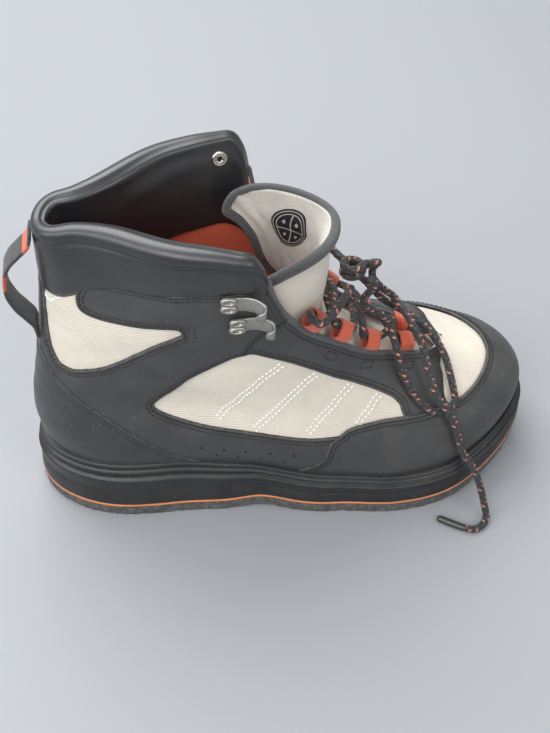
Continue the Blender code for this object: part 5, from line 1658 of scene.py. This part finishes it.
def hook(side, label, name, angle, level):
    turn = float(turn_of(angle, side))
    point = on_form(turn, level, GAP * 2 + PANEL_THICK + HOOK_CLEAR)
    per_degree, _, out = ways(turn, level)
    ahead = unit(per_degree) * -side
    up = np.cross(out, ahead) * -side
    line = smooth_route(np.array([(x, z, 0) for x, z in HOOK_BENDS]) / 1000, 0.0006)[:, :2]
    run = unit(np.gradient(line, axis=0))
    across = np.stack([-run[:, 1], run[:, 0]], -1)
    share = np.linspace(0, 1, len(line))
    width = (
        HOOK_WIDTH * (1 - 0.30 * smooth_step(share, 0.55, 0.95))
        * np.sqrt(1 - np.clip((share - 0.86) / 0.145, 0, 1) ** 2)
    )
    width *= np.sqrt(1 - np.clip((0.05 - share) / 0.07, 0, 1) ** 2)
    rows = []
    for place, depth in bar_section(0.15):
        flat = line + across * HOOK_PLATE * depth
        rows.append(point + ahead * flat[:, :1] + out * flat[:, 1:] + up * (width * place)[:, None])
    plate = bent_grid("hook_plate_%s_%s" % (label, name), capped(rows), [gunmetal], rings=True, outwards=True)
    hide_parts("hook_%s_%s" % (label, name))
    for number, shift in (("a", RIVET_APART), ("b", -RIVET_APART)):
        centre = point + out * HOOK_PLATE * 0.9 + up * shift * HOOK_WIDTH - ahead * RIVET_BACK
        table = turned_part(centre, ahead * RIVET_LONG, up * RIVET_TALL, out, RIVET, 28)
        rivet = bent_grid("rivet_%s_%s_%s" % (label, name, number), table, [gunmetal], rings=True, merge=1e-5)


for side, label in ((-1, "lateral"), (1, "medial")):
    for name, angle, level in HOOKS:
        hook(side, label, name, angle, level)

# %% Ring inside the ankle on the medial side
EYELET_COLUMN, EYELET_HEIGHT = 39, 0.95
place = EYELET_COLUMN / (SHELL_COLUMNS - 1)
pad = -WALL - GAP - SKIN - COLLAR_IN * pad_at(place, FULLNESS, "inner")
spot, beside = on_net(1, EYELET_COLUMN, np.array([EYELET_HEIGHT, EYELET_HEIGHT + 0.02]), np.full(2, pad))
inward = unit(on_net(1, EYELET_COLUMN, np.array([EYELET_HEIGHT]), np.array([pad - 0.01]))[0] - spot)
up = unit(beside - spot)
aside = np.cross(inward, up)
EYELET = [
    (1.4, -0.6), (1.5, 0.6), (2.0, 1.2), (2.6, 0.9), (3.0, 0.9), (3.7, 1.25), (4.2, 0.9), (4.4, 0.2),
    (4.4, -0.5),
]
ring = bent_grid("ankle_eyelet", turned_part(spot, aside, up, inward, EYELET, 40), [nickel], rings=True)
# A black disc fills the eyelet's hole: painted shade.
table = turned_part(spot, aside, up, inward, [(0.0, 0.1), (0.8, 0.1), (1.5, 0.1)], 40)
bent_grid("eyelet_hole_painted_shade", table, [hole_painted_shade], rings=True)

# %% Pull loop
PULL_HANGS = [
    (8.80, 2.6), (8.60, 4.2), (8.35, 10), (8.10, 15.5), (7.75, 18.5), (7.35, 18), (6.95, 13.5), (6.65, 7.5),
    (6.40, 3), (6.10, 1)
]
PULL_WIDTH, PULL_THICK = 0.015, 0.0018
spine = smooth_route([on_form(0.0, level, out / 1000) for level, out in PULL_HANGS], 0.0007)
run = unit(np.gradient(spine, axis=0))
out = unit(np.stack([run[:, 2], 0 * run[:, 0], -run[:, 0]], -1))
out *= np.sign(-out[len(out) // 3, 0])
rows = []
for place, depth in bar_section(0.1):
    rows.append(spine + out * PULL_THICK * depth + np.array([0, 1, 0]) * PULL_WIDTH * place)
pull_stripe, tree, shader = finish("pull_webbing", (0.024, 0.024, 0.025), 0.85, Sheen_Weight=0.2)
uv = own_uv(tree)
bands = [calc(tree, "COMPARE", uv.outputs["Y"], at, half) for at, half in ((0.008, 0.0035), (0.036, 0.005))]
rib_height = use(tree, "rib_weave", "Height", Rib=0.0009, Thread=0.0007)
# The orange stripes are woven in; the black is darker in the valleys between the ribs: painted shade.
colour_with(
    tree, shader, (calc(tree, "MAXIMUM", *bands), (0.60, 0.10, 0.035)),
    (span(tree, rib_height, 0.7, 0.1, 0.0, 0.5), (0.008, 0.008, 0.008))
)
bump(tree, shader, rib_height, 0.8, 0.0004)
pull = bent_grid(
    "heel_pull_loop", capped(rows), [pull_stripe], (0.034, line_length(spine)), rings=True, outwards=True
)
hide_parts("pull_loop")
print("pull loop: %.0f mm of webbing" % (line_length(spine) * 1000))

# %% Woven binding of the shaft's front edge, and box tacks on the facings
BOUND_PART = slice(48, 108)
TACK_THREAD = Thread(0.0017, 0.0013, 0.0007, 0.0007)
TACK_BOX = [(-0.0055, -0.004), (-0.0055, 0.004), (-0.0095, 0.004), (-0.0095, -0.004), (-0.0055, -0.004)]
for side, label in ((-1, "lateral"), (1, "medial")):
    turns_, levels_ = [row[BOUND_PART] for row in even_top(side, SHELL_COLUMNS)]
    route = smooth_route(on_form(turns_, levels_, np.full(len(turns_), -0.0004)), 0.0009)
    taped = tube(
        "edge_binding_" + label, route, 0.0021, binding, 12, flat=0.85, outs=unit(route - (0.08, 0.0, 0.10))
    )

boxes = []
for side in (-1, 1):
    for place in LOOP_COLUMNS[:3]:
        turn, level = EDGES[side][0][place], EDGES[side][1][place]
        per_degree, per_level, out = ways(turn, level)
        _, _, into, up = loop_frame(side, place)
        corners = []
        for aside, ahead in TACK_BOX:
            target = into * aside + up * ahead
            shift = np.linalg.lstsq(np.stack([per_degree, per_level], -1), target, rcond=None)[0]
            corners.append((turn + shift[0], level + shift[1]))
        lines = [np.array(corners[k:k + 2]) for k in range(4)]
        boxes.append(seam(lines, (0.0,), ON_PANEL - 0.0002, TACK_THREAD))
tacks = beads("facing_tacks", *joined(boxes), TACK_THREAD[1:], black_thread)

# %% [markdown]
# ## Floor and light
# A pale seamless floor and four large soft lamps give the even light of a product photograph.

# %% Floor, sky and lamps
bm = bmesh.new()
bmesh.ops.create_grid(bm, x_segments=1, y_segments=1, size=3.0)
floor_mesh = bpy.data.meshes.new("floor")
bm.to_mesh(floor_mesh)
bm.free()
floor = bpy.data.objects.new("floor", floor_mesh)
bpy.context.scene.collection.objects.link(floor)
paper, tree, shader = finish("paper", (0.30, 0.31, 0.325), 0.85)
bump(tree, shader, own_noise(tree, 900.0, 4.0), 0.2, 0.0003)
floor_mesh.materials.append(paper)

world = bpy.data.worlds.new("studio")
world.use_nodes = True
world.node_tree.nodes["Background"].inputs["Color"].default_value = (0.86, 0.90, 0.96, 1.0)
world.node_tree.nodes["Background"].inputs["Strength"].default_value = 0.60
bpy.context.scene.world = world

Lamp = namedtuple("Lamp", "name at size power")
LAMPS = [
    Lamp("top_soft", (-0.25, 0.75, 1.35), 1.2, 30.0),
    Lamp("side_soft", (-1.2, -0.4, 0.9), 0.8, 9.0),
    Lamp("window_soft", (-0.45, -0.85, 1.25), 0.8, 11.0),
    Lamp("front_soft", (0.9, -1.1, 1.1), 0.9, 8.0),
]
for lamp in LAMPS:
    light = bpy.data.lights.new(lamp.name, "AREA")
    light.size = lamp.size
    light.energy = lamp.power
    made = bpy.data.objects.new(lamp.name, light)
    made.location = lamp.at
    made.rotation_euler = (Vector(lamp.at) - Vector((0.1, 0.0, 0.1))).to_track_quat("Z", "Y").to_euler()
    bpy.context.scene.collection.objects.link(made)
bpy.context.scene.view_settings.view_transform = "Standard"
print("lamps:", len(LAMPS))
